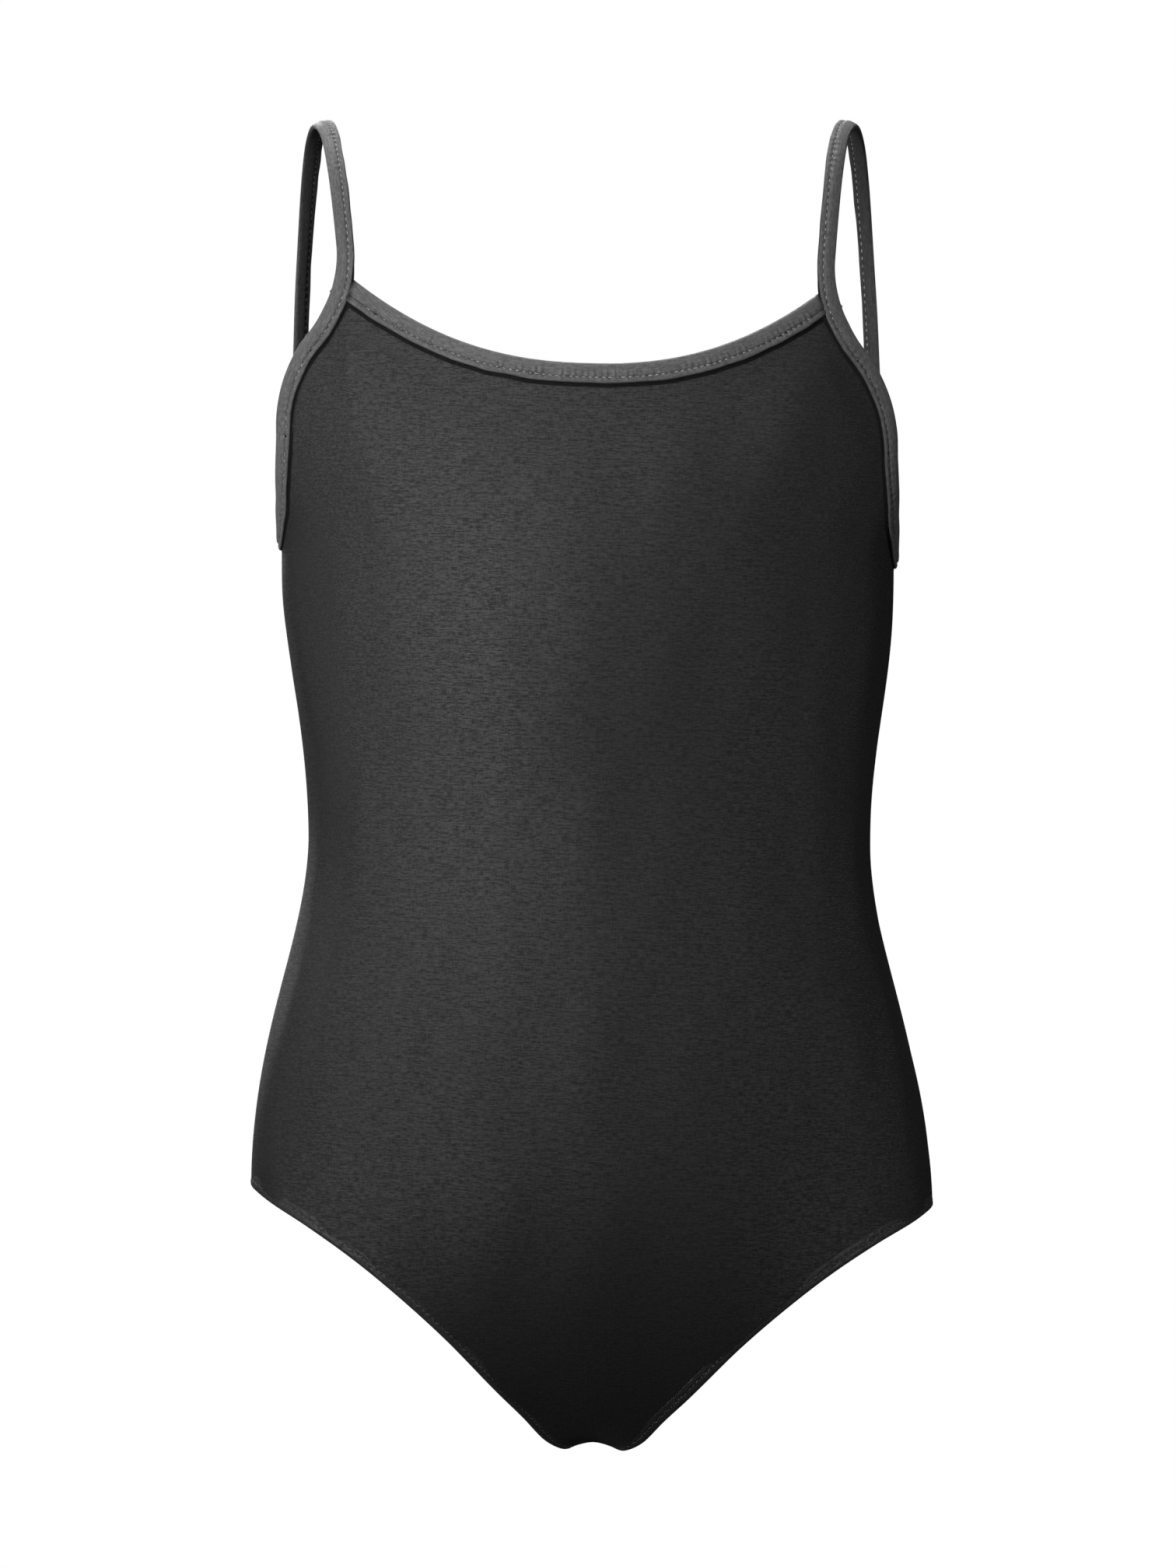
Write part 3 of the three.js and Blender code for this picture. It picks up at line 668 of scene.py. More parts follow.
@dataclass(frozen=True)
class Strip:
    """Cloth folded over an edge and sewn down with one row, in millimetres.

    Attributes:
        wall: The thickness of the cloth.
        row: The share of the width at which the row of stitches runs.
        pitch: The distance from one stitch to the next.
        pucker: How far the cloth rises between two stitches.
        wrinkle: How far it wrinkles at random.
        wander: How far its free edge strays, as a share of the width.
        step: The distance between two sections.
        inner_gather: How strongly the inner wall puckers, as a share of the outer wall.
    """

    wall: float = 0.5
    row: float = 0.715
    pitch: float = 2.7
    pucker: float = 0.2
    wrinkle: float = 0.11
    wander: float = 0.012
    step: float = 0.42
    inner_gather: float = 0.7

    def section(self) -> Section:
        """Return the cut across the strip."""
        raise NotImplementedError

    def shaped(self, cut: Section, fine: Ribbon) -> tuple[Array, Array]:
        """Return the shares and heights of every station of a ribbon."""
        return tuple(np.broadcast_to(a, (len(fine.middle), len(a))) for a in (cut.part, cut.height))

    def pull(self, at: Array) -> Array:
        """Return how strongly the stitches gather a wall at shares across."""
        above = hump(np.minimum(at, self.row), self.row, 0.27)
        return above * hump(np.maximum(at, self.row), self.row, 0.13)

    def waves(self, run: Array, seed: int) -> Array:
        """Return how the stitches lift and pull the cloth along a run, in millimetres."""
        beat = np.cos(2 * math.pi * run / self.pitch)
        spacing = float(run[1] - run[0])
        fine = soft_noise(len(run), 1.1 / spacing, seed)
        coarse = soft_noise(len(run), 9.0 / spacing, seed + 1)
        return (self.pucker * beat + self.wrinkle * fine) * np.clip(1 + 0.45 * coarse, 0.2, 2.0)

    def build(self, name: str, ribbon: Ribbon, side: Side | None, seed: int) -> bpy.types.Object:
        """Make the folded strip along a ribbon.

        Args:
            name: The piece's name.
            ribbon: The line it follows.
            side: The side of the garment, or None for a piece that crosses the middle.
            seed: The seed of its puckers.

        Returns:
            The finished object.
        """
        fine = ribbon.finely(self.step)
        run, cut = fine.run(), self.section()
        parts, heights = self.shaped(cut, fine)
        heights = heights + cut.gather[None] * self.waves(run[: len(fine.middle)], seed)[:, None]
        stray = self.wander * soft_noise(len(fine.middle), 14.0 / self.step, seed + 2)
        parts = parts + stray[:, None] * smooth(cut.part, 0.75, 1.0)[None]
        points = as_worn(fine.places(parts, heights), side)
        outline = np.stack([cut.part * float(np.mean(fine.width)), cut.height], axis=-1)
        across = run_lengths(np.vstack([outline, outline[:1]]))
        along = run if fine.closed else np.append(run, run[-1])
        shades = np.broadcast_to(cut.shade, parts.shape)
        return Grid(points, measured(along, across), fine.closed, shades).build(name)


@dataclass(frozen=True)
class Binding(Strip):
    """A binding folded in half over the raw edge of a panel, or sewn up by itself as a strap."""

    half: float = 1.42
    fold: float = 0.16  # share of the width that the rounded fold takes
    puff: float = 0.3
    dip: float = 0.34
    lip: float = 0.16
    shut: float = 0.5  # how far the two walls close up where no panel lies between them
    groove: float = 0.18  # share of the width of a strip beyond the wall, painted fully dark as the shadow line under its edge
    groove_height: float = 0.5
    taper: float = 0.0  # length at each end over which the strip thins to pass under another
    thinned: float = 0.42
    inner_shade: float = 0.62  # painted shade on the inner wall, its row, the fold, the outer row and the edge
    inner_row_shade: float = 0.2
    fold_shade: float = 0.6
    outer_row_shade: float = 0.55
    edge_shade: float = 0.4

    def wall_height(self, part: Array) -> Array:
        """Return how high the outside of a wall stands, without its puckers."""
        swell = self.puff * np.sin(math.pi * share(part, self.fold, self.row))
        pulled = self.dip * hump(part, self.row, 0.05)
        edge = self.lip * hump(part, 0.87, 0.07) - 0.4 * share(part, 0.94, 1.0) ** 2
        return self.half + swell - pulled + edge

    def section(self) -> Section:
        """Return the cut across the binding, with the groove beside its outer wall and the painted shade of
        each point.
        """
        outer = np.array(
            [0.22, 0.3, 0.38, 0.45, 0.51, 0.56, 0.6, 0.635, 0.665, 0.69, 0.715, 0.74, 0.77, 0.81]
            + [0.86, 0.91, 0.95, 0.98, 1.0]
        )
        inner = np.array([1.0, 0.97, 0.9, 0.8, 0.745, 0.715, 0.685, 0.64, 0.56, 0.44, 0.3, 0.22])
        turn = np.radians([-78, -60, -40, -20, 0, 20, 40, 60, 78])
        low, floor = self.half - self.wall, self.groove_height
        groove_part = np.array([1.0, 1.0, 1.0 + self.groove, 1.01 + self.groove, 0.99])
        groove_height = np.array([0.85, floor + 0.02, floor, floor - 0.08, floor - 0.08])
        gap_part = np.array([0.985, 0.8, 0.5, 0.25, 0.12, 0.25, 0.5, 0.8, 0.99])
        gap_height = np.array([low, low, low, low, 0.0, -low, -low, -low, -low])
        still = np.zeros(len(turn))
        # the groove strip and the gap between the walls are painted fully dark as shadow
        hidden = np.zeros(len(groove_part) + len(gap_part))
        part = [inner, self.fold * (1 - np.cos(turn)), outer, groove_part, gap_part]
        walls = [-self.wall_height(inner), self.half * np.sin(turn), self.wall_height(outer)]
        gather = [-self.inner_gather * self.pull(inner), still, self.pull(outer), hidden]
        # painted shade: the inner wall and its row, the fold's inner half, the outer row and the outer edge
        inner_shade = self.inner_shade + self.inner_row_shade * hump(inner, self.row, 0.03)
        fold_shade = self.fold_shade * share(-turn, -0.2, 0.8)
        edge_shade = self.edge_shade * share(outer, 0.97, 1.0)
        outer_shade = self.outer_row_shade * hump(outer, self.row, 0.03) + edge_shade
        return Section(
            np.concatenate(part),
            np.concatenate([*walls, groove_height, gap_height]),
            np.concatenate(gather),
            np.concatenate([inner_shade, fold_shade, outer_shade, hidden + 1.0]),
        )

    def thickness(self, fine: Ribbon) -> Array:
        """Return the share of its full thickness that the strip has at each station."""
        if not self.taper:
            return np.ones(len(fine.middle))
        run = fine.run()[: len(fine.middle)]
        from_end = np.minimum(run, run[-1] - run)
        return lerp(self.thinned, 1.0, smooth(from_end, 0.45 * self.taper, self.taper))

    def closing(self, part: Array, fine: Ribbon) -> Array:
        """Return how far the walls have closed up, by station and share across."""
        free = 1 - fine.backed[:, None]
        shut = 1 - self.shut * free * smooth(part, 0.5, 1.0)[None]
        return shut * (1 - 0.12 * free) * self.thickness(fine)[:, None]

    def shaped(self, cut: Section, fine: Ribbon) -> tuple[Array, Array]:
        """Return the shares and heights of every station, with no groove where no panel lies."""
        beyond = np.maximum(cut.part - 1.0, 0.0)
        parts = np.minimum(cut.part, 1.0)[None] + beyond[None] * fine.backed[:, None]
        return parts, cut.height[None] * self.closing(cut.part, fine)

    def row_height(self, fine: Ribbon) -> Array:
        """Return how high the row of stitches lies at each station."""
        row = np.array([self.row])
        return (self.wall_height(row)[None] * self.closing(row, fine))[:, 0]

    def rows(self) -> list[tuple[float, HeightOn]]:
        """Return the row of stitches on each face."""
        return [(self.row, self.row_height), (self.row, lambda fine: -self.row_height(fine))]


@dataclass(frozen=True)
class Hem(Strip):
    """The turned edge of a leg opening, with its elastic inside."""

    pitch: float = 2.6
    pucker: float = 0.1
    wrinkle: float = 0.06
    wander: float = 0.0
    row: float = 0.7
    step: float = 0.6
    top: float = 0.47
    bottom: float = -2.7
    layer: float = 0.8
    # painted shade along the outer row of stitches and inside the gap of the hem
    row_shade: float = 0.35
    gap_shade: float = 0.8

    def section(self) -> Section:
        """Return the cut across the hem, whose outer edge runs on into the panel."""
        outer = np.array([0.24, 0.36, 0.48, 0.56, 0.62, 0.66, 0.7, 0.74, 0.8, 0.9, 1.0, 1.12, 1.2])
        lift = self.top + 0.2 * np.sin(math.pi * share(outer, 0.1, self.row))
        lift = lift - 0.2 * hump(outer, self.row, 0.06) - 0.16 * smooth(outer, 0.85, 1.2)
        inner = np.array([1.0, 0.9, 0.76, 0.7, 0.64, 0.5, 0.34, 0.26])
        depth = self.bottom - 0.1 * np.sin(math.pi * share(inner, 0.2, self.row))
        depth = depth + 0.18 * hump(inner, self.row, 0.06)
        turn = np.radians([-76, -50, -25, 0, 25, 50, 76])
        radius, centre = (self.top - self.bottom) / 2, (self.top + self.bottom) / 2
        roof, floor = self.top - self.layer, self.bottom + self.layer
        gap_part = np.array([1.18, 0.7, 0.3, 0.16, 0.3, 0.7, 0.98])
        gap_height = np.array([-0.3, roof, roof, centre, floor, floor, floor])
        still, hidden = np.zeros(len(turn)), np.zeros(len(gap_part))
        # painted shade: the outer row of stitches, and the gap inside
        row_shade = self.row_shade * hump(outer, self.row, 0.04)
        return Section(
            np.concatenate([inner, 0.26 * (1 - np.cos(turn)), outer, gap_part]),
            np.concatenate([depth, centre + radius * np.sin(turn), lift, gap_height]),
            np.concatenate([-self.inner_gather * self.pull(inner), still, self.pull(outer), hidden]),
            np.concatenate([np.zeros(len(inner)), still, row_shade, hidden + self.gap_shade]),
        )

    def row_height(self, fine: Ribbon) -> Array:
        """Return how high the row of stitches lies at each station."""
        return np.full(len(fine.middle), self.top - 0.02)

    def rows(self) -> list[tuple[float, HeightOn]]:
        """Return the row of stitches on each face."""
        return [(self.row, self.row_height), (self.row, level_row(self.bottom + 0.1))]


@dataclass(frozen=True)
class Tape(Strip):
    """A flat tape with rounded edges, such as an elastic or an overlocked seam."""

    start: float = 0.0  # shares of the ribbon's width that the tape covers
    end: float = 1.0
    low: float = -0.4
    high: float = 0.4
    pucker: float = 0.0
    wrinkle: float = 0.03
    wander: float = 0.0
    step: float = 1.4

    @classmethod
    def inside(cls, ribbon_width: float, start: float, width: float, **more: float) -> "Tape":
        """Return the tape that begins a distance in from the fold of a ribbon.

        Args:
            ribbon_width: The ribbon's width, in millimetres.
            start: How far in from the fold the tape begins.
            width: The tape's own width.
            more: Its other measures.

        Returns:
            The tape.
        """
        first = start / ribbon_width
        return cls(start=first, end=first + width / ribbon_width, **more)

    def section(self) -> Section:
        """Return the cut across the tape."""
        width, soft = self.end - self.start, (self.high - self.low) * 0.25
        part = self.start + width * np.array([1.0, 0.95, 0.5, 0.05, 0.0, 0.0, 0.05, 0.5, 0.95, 1.0])
        low = [self.low + soft, self.low, self.low, self.low, self.low + soft]
        high = [self.high - soft, self.high, self.high, self.high, self.high - soft]
        height = np.array(low + high)
        pull = np.array([0, -1, -1, -1, 0, 0, 1, 1, 1, 0], float)
        return Section(part, height, pull, np.zeros(len(part)))


# ---------- Needlework ----------


@dataclass(frozen=True)
class Stitch:
    """One stitch of a row, in millimetres."""

    length: float = 1.75
    thickness: float = 0.46
    pitch: float = 2.7
    sink: float = 0.06
    swing: float = 0.0  # how far each stitch slants to and fro across the row
    stray: float = 0.07  # how far stitches differ at random, in slant and as shares of their size
    length_spread: float = 0.08
    thickness_spread: float = 0.06


class Needlework:
    """Lays copies of one modelled stitch along the rows of the garment."""

    def __init__(self) -> None:
        """Model the stitch once: a small rounded float of thread."""
        bpy.ops.object.select_all(action="DESELECT")
        bpy.ops.mesh.primitive_uv_sphere_add(segments=7, ring_count=6, radius=0.5)
        model = bpy.context.active_object
        bpy.ops.object.mode_set(mode="EDIT")
        bpy.ops.mesh.select_all(action="SELECT")
        bpy.ops.transform.rotate(value=QUARTER, orient_axis="Y", center_override=(0.0, 0.0, 0.0))
        bpy.ops.object.mode_set(mode="OBJECT")
        points = np.array([v.co for v in model.data.vertices], float)
        order = np.lexsort(np.round(points, 5).T)  # Blender's own order changes from run to run
        place = np.argsort(order)
        faces = [[int(place[v]) for v in p.vertices] for p in model.data.polygons]
        points = points[order]
        points[:, 0] = 0.5 * np.sign(points[:, 0]) * (2 * np.abs(points[:, 0])) ** 0.7
        self.points = points
        self.faces = sorted(f[f.index(min(f)) :] + f[: f.index(min(f))] for f in faces)
        bpy.data.objects.remove(model)

    def row(
        self,
        name: str,
        ribbon: Ribbon,
        stitch: Stitch,
        rows: list[tuple[float, HeightOn]],
        side: Side | None,
        seed: int,
    ) -> bpy.types.Object:
        """Sew rows of stitches along a ribbon.

        Args:
            name: The piece's name.
            ribbon: The line that the rows follow.
            stitch: The stitch.
            rows: For each row, its share of the ribbon's width from the fold and its heights.
            side: The side of the garment, or None.
            seed: The seed of the small differences between stitches.

        Returns:
            All the stitches as one object.
        """
        fine = ribbon.finely(stitch.pitch)
        count = len(fine.middle)
        draw = np.random.default_rng(seed)
        ahead = np.roll(fine.middle, -1, axis=0) - np.roll(fine.middle, 1, axis=0)
        if not fine.closed:
            ahead[0], ahead[-1] = ahead[1], ahead[-2]
        ahead = unit(ahead)
        made, faces = [], []
        for share_in, height in rows:
            heights = height(fine)
            flip = math.copysign(1.0, float(np.mean(heights)))
            centre = fine.places(np.full((count, 1), share_in), heights[:, None])[:, 0]
            slant = np.where(np.arange(count) % 2 == 0, 1.0, -1.0) * stitch.swing
            slant = slant + draw.normal(0, stitch.stray, count)
            direction = unit(ahead + fine.across * slant[:, None])
            size = stitch.length * (1 + draw.normal(0, stitch.length_spread, count))
            thick = stitch.thickness * (1 + draw.normal(0, stitch.thickness_spread, count))
            beside = unit(np.cross(fine.outward, direction))
            up = fine.outward * flip
            centre = centre - up * stitch.sink
            for i in range(count):
                local = (
                    self.points[:, :1] * direction[i] * size[i]
                    + self.points[:, 1:2] * beside[i] * thick[i]
                    + self.points[:, 2:] * up[i] * thick[i]
                )
                start = len(made) * len(self.points)
                made.append(centre[i] + local)
                order = self.faces if flip > 0 else [f[::-1] for f in self.faces]
                faces += [[p + start for p in f] for f in order]
        return new_object(name, as_worn(np.vstack(made), side), faces)


# ---------- Finishes ----------


class Signal:
    """A shader socket that plain arithmetic can be written on."""

    def __init__(self, recipe: "Recipe", socket: bpy.types.NodeSocket) -> None:
        """Wrap a socket of a recipe."""
        self.recipe = recipe
        self.socket = socket

    def _math(self, operation: str, first: object, second: object = 0.0) -> "Signal":
        """Add a Math node and return its value."""
        return self.recipe.node("ShaderNodeMath", {"operation": operation}, {0: first, 1: second})

    def __add__(self, other: "Signal | float") -> "Signal":
        """Return the sum."""
        return self._math("ADD", self, other)

    def __radd__(self, other: float) -> "Signal":
        """Return the sum."""
        return self._math("ADD", other, self)

    def __sub__(self, other: "Signal | float") -> "Signal":
        """Return the difference."""
        return self._math("SUBTRACT", self, other)

    def __rsub__(self, other: float) -> "Signal":
        """Return the difference."""
        return self._math("SUBTRACT", other, self)

    def __mul__(self, other: "Signal | float") -> "Signal":
        """Return the product."""
        return self._math("MULTIPLY", self, other)

    def sine(self) -> "Signal":
        """Return the sine."""
        return self._math("SINE", self)

    def between(self, low: float, high: float) -> "Signal":
        """Return a smooth step from 0 at low to 1 at high."""
        settings = {"interpolation_type": "SMOOTHSTEP"}
        return self.recipe.node("ShaderNodeMapRange", settings, {"Value": self, 1: low, 2: high})


class Recipe:
    """A material as a list of nodes, ending in its surface."""

    def __init__(self, name: str) -> None:
        """Start an empty material."""
        self.material = bpy.data.materials.new(name)
        self.material.use_nodes = True
        self.tree = self.material.node_tree
        self.tree.nodes.clear()

    def node(
        self,
        kind: str,
        settings: dict[str, object] | None = None,
        inputs: dict[str | int, object] | None = None,
        output: str | int = 0,
    ) -> Signal:
        """Add one node.

        Args:
            kind: The node's type.
            settings: Its properties, set before its sockets.
            inputs: Values or signals for its sockets, by name or number.
            output: Which of its outputs to return.

        Returns:
            That output.
        """
        made = self.tree.nodes.new(kind)
        for key, value in (settings or {}).items():
            setattr(made, key, value)
        for key, value in (inputs or {}).items():
            if isinstance(value, Signal):
                self.tree.links.new(value.socket, made.inputs[key])
            else:
                made.inputs[key].default_value = value
        return Signal(self, made.outputs[output] if made.outputs else made.inputs[0])

    def cloth_map(self) -> tuple[Signal, Signal, Signal]:
        """Return the cloth's own map in millimetres, and its two measures: along and across."""
        uv = self.node("ShaderNodeUVMap", {"uv_map": "cloth"})
        scaled = self.node("ShaderNodeVectorMath", {"operation": "SCALE"}, {0: uv, "Scale": 1 / MM})
        along = self.node("ShaderNodeSeparateXYZ", {}, {0: scaled}, 0)
        across = self.node("ShaderNodeSeparateXYZ", {}, {0: scaled}, 1)
        return scaled, along, across

    def noise(self, place: Signal, stretch: tuple[float, float, float], detail: float = 2.0) -> Signal:
        """Return noise whose grains are as long each way as 1 / stretch, from 0 to 1."""
        put = self.node("ShaderNodeVectorMath", {"operation": "MULTIPLY"}, {0: place, 1: stretch})
        inputs = {"Vector": put, "Scale": 1.0, "Detail": detail, "Roughness": 0.6}
        return self.node("ShaderNodeTexNoise", {"noise_dimensions": "3D"}, inputs)

    def tint(self, factor: Signal | float, low: tuple[float, ...], high: tuple[float, ...]) -> Signal:
        """Return the colour that lies a factor of the way from low to high."""
        settings = {"data_type": "RGBA", "clamp_factor": False}
        return self.node("ShaderNodeMix", settings, {0: factor, 6: low, 7: high}, 2)

    def finish(
        self,
        colour: Signal,
        roughness: Signal | float,
        height: Signal | None,
        relief: float,
        sheen: float,
        gloss: float = 0.2,
        hidden: Signal | None = None,
    ) -> bpy.types.Material:
        """Close the recipe with its shader.

        Args:
            colour: The base colour.
            roughness: The roughness.
            height: The fine relief in millimetres, or None.
            relief: The strength of that relief.
            sheen: The amount of sheen, the same all over.
            gloss: How much the surface shines.
            hidden: How much painted shade is mixed in, from 0 to 1, or None.

        Returns:
            The material.
        """
        inputs: dict[str | int, object] = {
            "Base Color": colour,
            "Roughness": roughness,
            "Sheen Weight": sheen,
            "Specular IOR Level": gloss,
        }
        if height is not None:
            bump = {"Height": height, "Distance": MM, "Strength": relief}
            inputs["Normal"] = self.node("ShaderNodeBump", {}, bump)
        shader = self.node("ShaderNodeBsdfPrincipled", {}, inputs)
        # Painted shade: a near-black diffuse is mixed in as the shadow of creases, grooves and strip edges.
        if hidden is not None:
            dark = self.node("ShaderNodeBsdfDiffuse", {}, {"Color": grey(PAINTED_SHADE_GREY)})
            shader = self.node("ShaderNodeMixShader", {}, {0: hidden, 1: shader, 2: dark})
        self.node("ShaderNodeOutputMaterial", {}, {"Surface": shader})
        return self.material


PAINTED_SHADE_GREY = 0.002  # what is left of any colour where painted shade stands for the shadow at the bottom of a crease


def grey(value: float, warmth: float = 0.0) -> tuple[float, float, float, float]:
    """Return a near grey colour; a negative warmth leans to blue."""
    return (value * (1 + warmth), value, value * (1 - warmth), 1.0)


@dataclass(frozen=True)
class Heather:
    """How strongly each kind of yarn shows in the tone of a knit.

    Attributes:
        yarn: The yarns that run along the rows.
        streak: The yarns that run along the columns.
        slub: The long thick places.
        speck: The short pale flecks.
        pit: The gaps between loops.
        column: The columns of loops.
        row: The rows of loops.
        base: The tone that they are added to.
        low: The sum that gives the darkest yarn.
        high: The sum that gives the lightest.
    """

    yarn: float = 3.6
    streak: float = 1.5
    slub: float = 1.8
    speck: float = 1.7
    pit: float = 0.6
    column: float = 0.05
    row: float = 0.06
    base: float = 0.42
    low: float = -0.25
    high: float = 1.25


HEATHER = Heather()


@dataclass(frozen=True)
class KnitFinish:
    """Heathered cotton and elastane jersey.

    Attributes:
        name: The finish.
        dark: The darkest yarn.
        light: The lightest yarn.
        wale: The width of one column of knitted loops, in millimetres.
        course: The height of one row of loops.
        heather: How strongly light and dark yarns show.
        relief: The strength of the knitted relief.
        sheen: The amount of fuzz that catches the light.
        gloss: How much the yarn shines.
    """

    name: str
    dark: float
    light: float
    wale: float = 0.82
    course: float = 0.62
    heather: float = 1.0
    relief: float = 0.5
    sheen: float = 0.03
    gloss: float = 0.9

    def make(self) -> bpy.types.Material:
        """Mix the material."""
        recipe = Recipe(self.name)
        place, along, across = recipe.cloth_map()
        drift = recipe.noise(place, (0.12, 0.02, 1.0), 1.0)
        columns = ((along + drift * 1.6) * (2 * math.pi / self.wale)).sine()
        rows = ((across + drift * 0.8) * (2 * math.pi / self.course) + columns * 0.9).sine()
        yarn = recipe.noise(place, (0.36, 1.8, 1.0), 3.0)
        streak = recipe.noise(place, (1.9, 0.3, 1.0), 3.0)
        slub = recipe.noise(place, (0.09, 0.95, 1.0), 3.0)
        speck = recipe.noise(place, (1.15, 2.0, 1.0), 1.0).between(0.66, 0.78)
        pit = recipe.noise(place, (1.5, 1.1, 1.0), 1.0).between(0.36, 0.27)
        tone = (
            (yarn - 0.5) * (HEATHER.yarn * self.heather)
            + (streak - 0.5) * (HEATHER.streak * self.heather)
            + (slub - 0.5) * (HEATHER.slub * self.heather)
            + columns * HEATHER.column
            + rows * HEATHER.row
            + speck * (HEATHER.speck * self.heather)
            - pit * (HEATHER.pit * self.heather)
            + HEATHER.base
        ).between(HEATHER.low, HEATHER.high)
        shade = recipe.node("ShaderNodeAttribute", {"attribute_name": "shade"}, {}, "Fac")
        colour = recipe.tint(tone, grey(self.dark), grey(self.light))
        height = columns * 0.03 + rows * 0.035 + yarn * 0.12 + streak * 0.14 + speck * 0.05
        rough = 0.76 - tone * 0.4
        # painted shade: the "shade" attribute sets how much near-black is mixed in
        hidden = shade * 0.9
        return recipe.finish(colour, rough, height, self.relief, self.sheen, self.gloss, hidden)


@dataclass(frozen=True)
class Grain:
    """One noise of a finish: its grains to the metre each way, its detail and its three shares."""

    stretch: tuple[float, float, float]
    detail: float
    tone: float
    rough: float = 0.0
    height: float = 0.0


@dataclass(frozen=True)
class PlainFinish:
    """Thread or rubber: one material whose tone comes from two grains of noise."""

    name: str
    dark: float
    light: float
    grains: tuple[Grain, Grain]
    low: float
    rough: float
    sheen: float

    def make(self) -> bpy.types.Material:
        """Mix the material."""
        recipe = Recipe(self.name)
        place = recipe.node("ShaderNodeTexCoord", {}, {}, "Object")
        first, second = (recipe.noise(place, grain.stretch, grain.detail) for grain in self.grains)
        one, two = self.grains
        tone = (first * one.tone + second * two.tone).between(self.low, 0.9)
        colour = recipe.tint(tone, grey(self.dark), grey(self.light))
        height = first * one.height + second * two.height
        return recipe.finish(colour, self.rough + first * one.rough, height, 0.5, self.sheen)


THREAD = (Grain((2600.0, 2600.0, 2600.0), 2.0, 0.6, 0.2, 0.12), Grain((900.0, 900.0, 900.0), 1.0, 0.6))
RUBBER = (Grain((1400.0, 1400.0, 1400.0), 3.0, 0.7, 0.25), Grain((500.0, 500.0, 3000.0), 1.0, 0.5, 0.0, 0.2))


@dataclass(frozen=True)
class LabelFinish:
    """Woven satin ribbon, blank, with a soft yellowed edge to its weave."""

    name: str
    dark: float
    light: float
    warp_pitch: float = 0.34  # millimetres from one thread to the next
    weft_pitch: float = 0.28

    def make(self) -> bpy.types.Material:
        """Mix the material."""
        recipe = Recipe(self.name)
        place, along, across = recipe.cloth_map()
        warp = (along * (2 * math.pi / self.warp_pitch)).sine()
        weft = (across * (2 * math.pi / self.weft_pitch)).sine()
        slub = recipe.noise(place, (0.25, 3.0, 1.0), 2.0)
        tone = (slub * 0.7 + warp * weft * 0.14 + 0.15).between(0.0, 0.9)
        colour = recipe.tint(tone, grey(self.dark, 0.05), grey(self.light, 0.03))
        height = warp * weft * 0.05 + slub * 0.05
        return recipe.finish(colour, 0.5 + slub * 0.15, height, 0.6, 0.2)


# ---------- Cloth in two layers ----------


def two_layers(
    name: str,
    angle: Array,
    way: Array,
    standoff: float | Array,
    thickness: float,
    side: Side | None = None,
    shade: Callable[[Array], Array] | None = None,
) -> bpy.types.Object:
    """Make a piece of cloth over rows of places on the body.

    Args:
        name: The piece's name.
        angle: Angles by row and column.
        way: Distances round by row and column.
        standoff: How far the middle of the cloth lies off the body, in millimetres.
        thickness: Its thickness.
        side: The side of the garment, or None.
        shade: Gives how much painted shade each point gets, as in a crease, or None.

    Returns:
        The finished object.
    """
    layers = [
        BODY.off_body(angle, way, standoff + thickness / 2 * face.value)[:, :: face.value]
        for face in Face
    ]
    points = as_worn(np.hstack(layers), side)
    outer = layers[0]
    steps = np.linalg.norm(np.diff(outer, axis=1), axis=2)
    over = np.cumsum(np.column_stack([np.zeros(len(outer)), steps]), axis=1)
    over -= over[:, [angle.shape[1] // 2]]
    over = np.hstack([over, over[:, ::-1], over[:, :1]])
    down = np.hstack([way, way[:, ::-1], way[:, :1]])
    measure = np.stack([np.vstack([over, over[-1:]]), np.vstack([down, down[-1:]])], axis=-1) * MM
    shades = np.zeros(points.shape[:2]) if shade is None else shade(points)
    return Grid(points, measure, False, shades).build(name, ladder=True)


def declare(made: bpy.types.Object, flat: tuple[float, float], cover: float) -> None:
    """Work out the area that a piece's cut takes up, and keep nothing of it.

    Args:
        made: The piece; not used.
        flat: The width and length that it is cut from, in metres.
        cover: The share of that rectangle that the cut takes up.
    """
    cover * flat[0] * flat[1]


@dataclass(frozen=True)
class Finishes:
    """The finishes of the garment, mixed once each."""

    jersey: bpy.types.Material
    binding: bpy.types.Material
    hem: bpy.types.Material
    lining: bpy.types.Material
    thread: bpy.types.Material
    seam_thread: bpy.types.Material
    elastic: bpy.types.Material
    label: bpy.types.Material

    @classmethod
    def mix(cls) -> "Finishes":
        """Mix every finish."""
        return cls(
            jersey=KnitFinish("charcoal jersey", 0.007, 0.05, relief=0.9, gloss=0.8).make(),
            binding=KnitFinish("binding jersey", 0.12, 0.29, heather=0.6, sheen=0.2, gloss=0.3).make(),
            hem=KnitFinish("hem jersey", 0.02, 0.09, relief=0.6).make(),
            lining=KnitFinish("cotton lining", 0.03, 0.07, heather=0.5, relief=0.4, sheen=0.1).make(),
            thread=PlainFinish("sewing thread", 0.5, 0.8, THREAD, 0.3, 0.55, 0.1).make(),
            seam_thread=PlainFinish("overlock thread", 0.15, 0.3, THREAD, 0.3, 0.55, 0.1).make(),
            elastic=PlainFinish("rubber elastic", 0.015, 0.05, RUBBER, 0.35, 0.5, 0.0).make(),
            label=LabelFinish("woven label", 0.55, 0.85).make(),
        )


def dress(made: bpy.types.Object, finish: bpy.types.Material, slot: str, *nodes: str) -> None:
    """Give a piece its finish, and put it in for its CAD nodes."""
    made.data.materials.append(finish)
    if nodes:
        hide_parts(*nodes)


def fasten(made: bpy.types.Object, finish: bpy.types.Material, slot: str, *nodes: str) -> None:
    """Dress a piece that goes wherever the garment goes."""
    dress(made, finish, slot, *nodes)
    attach(made, GARMENT)


# ---------- The panels ----------


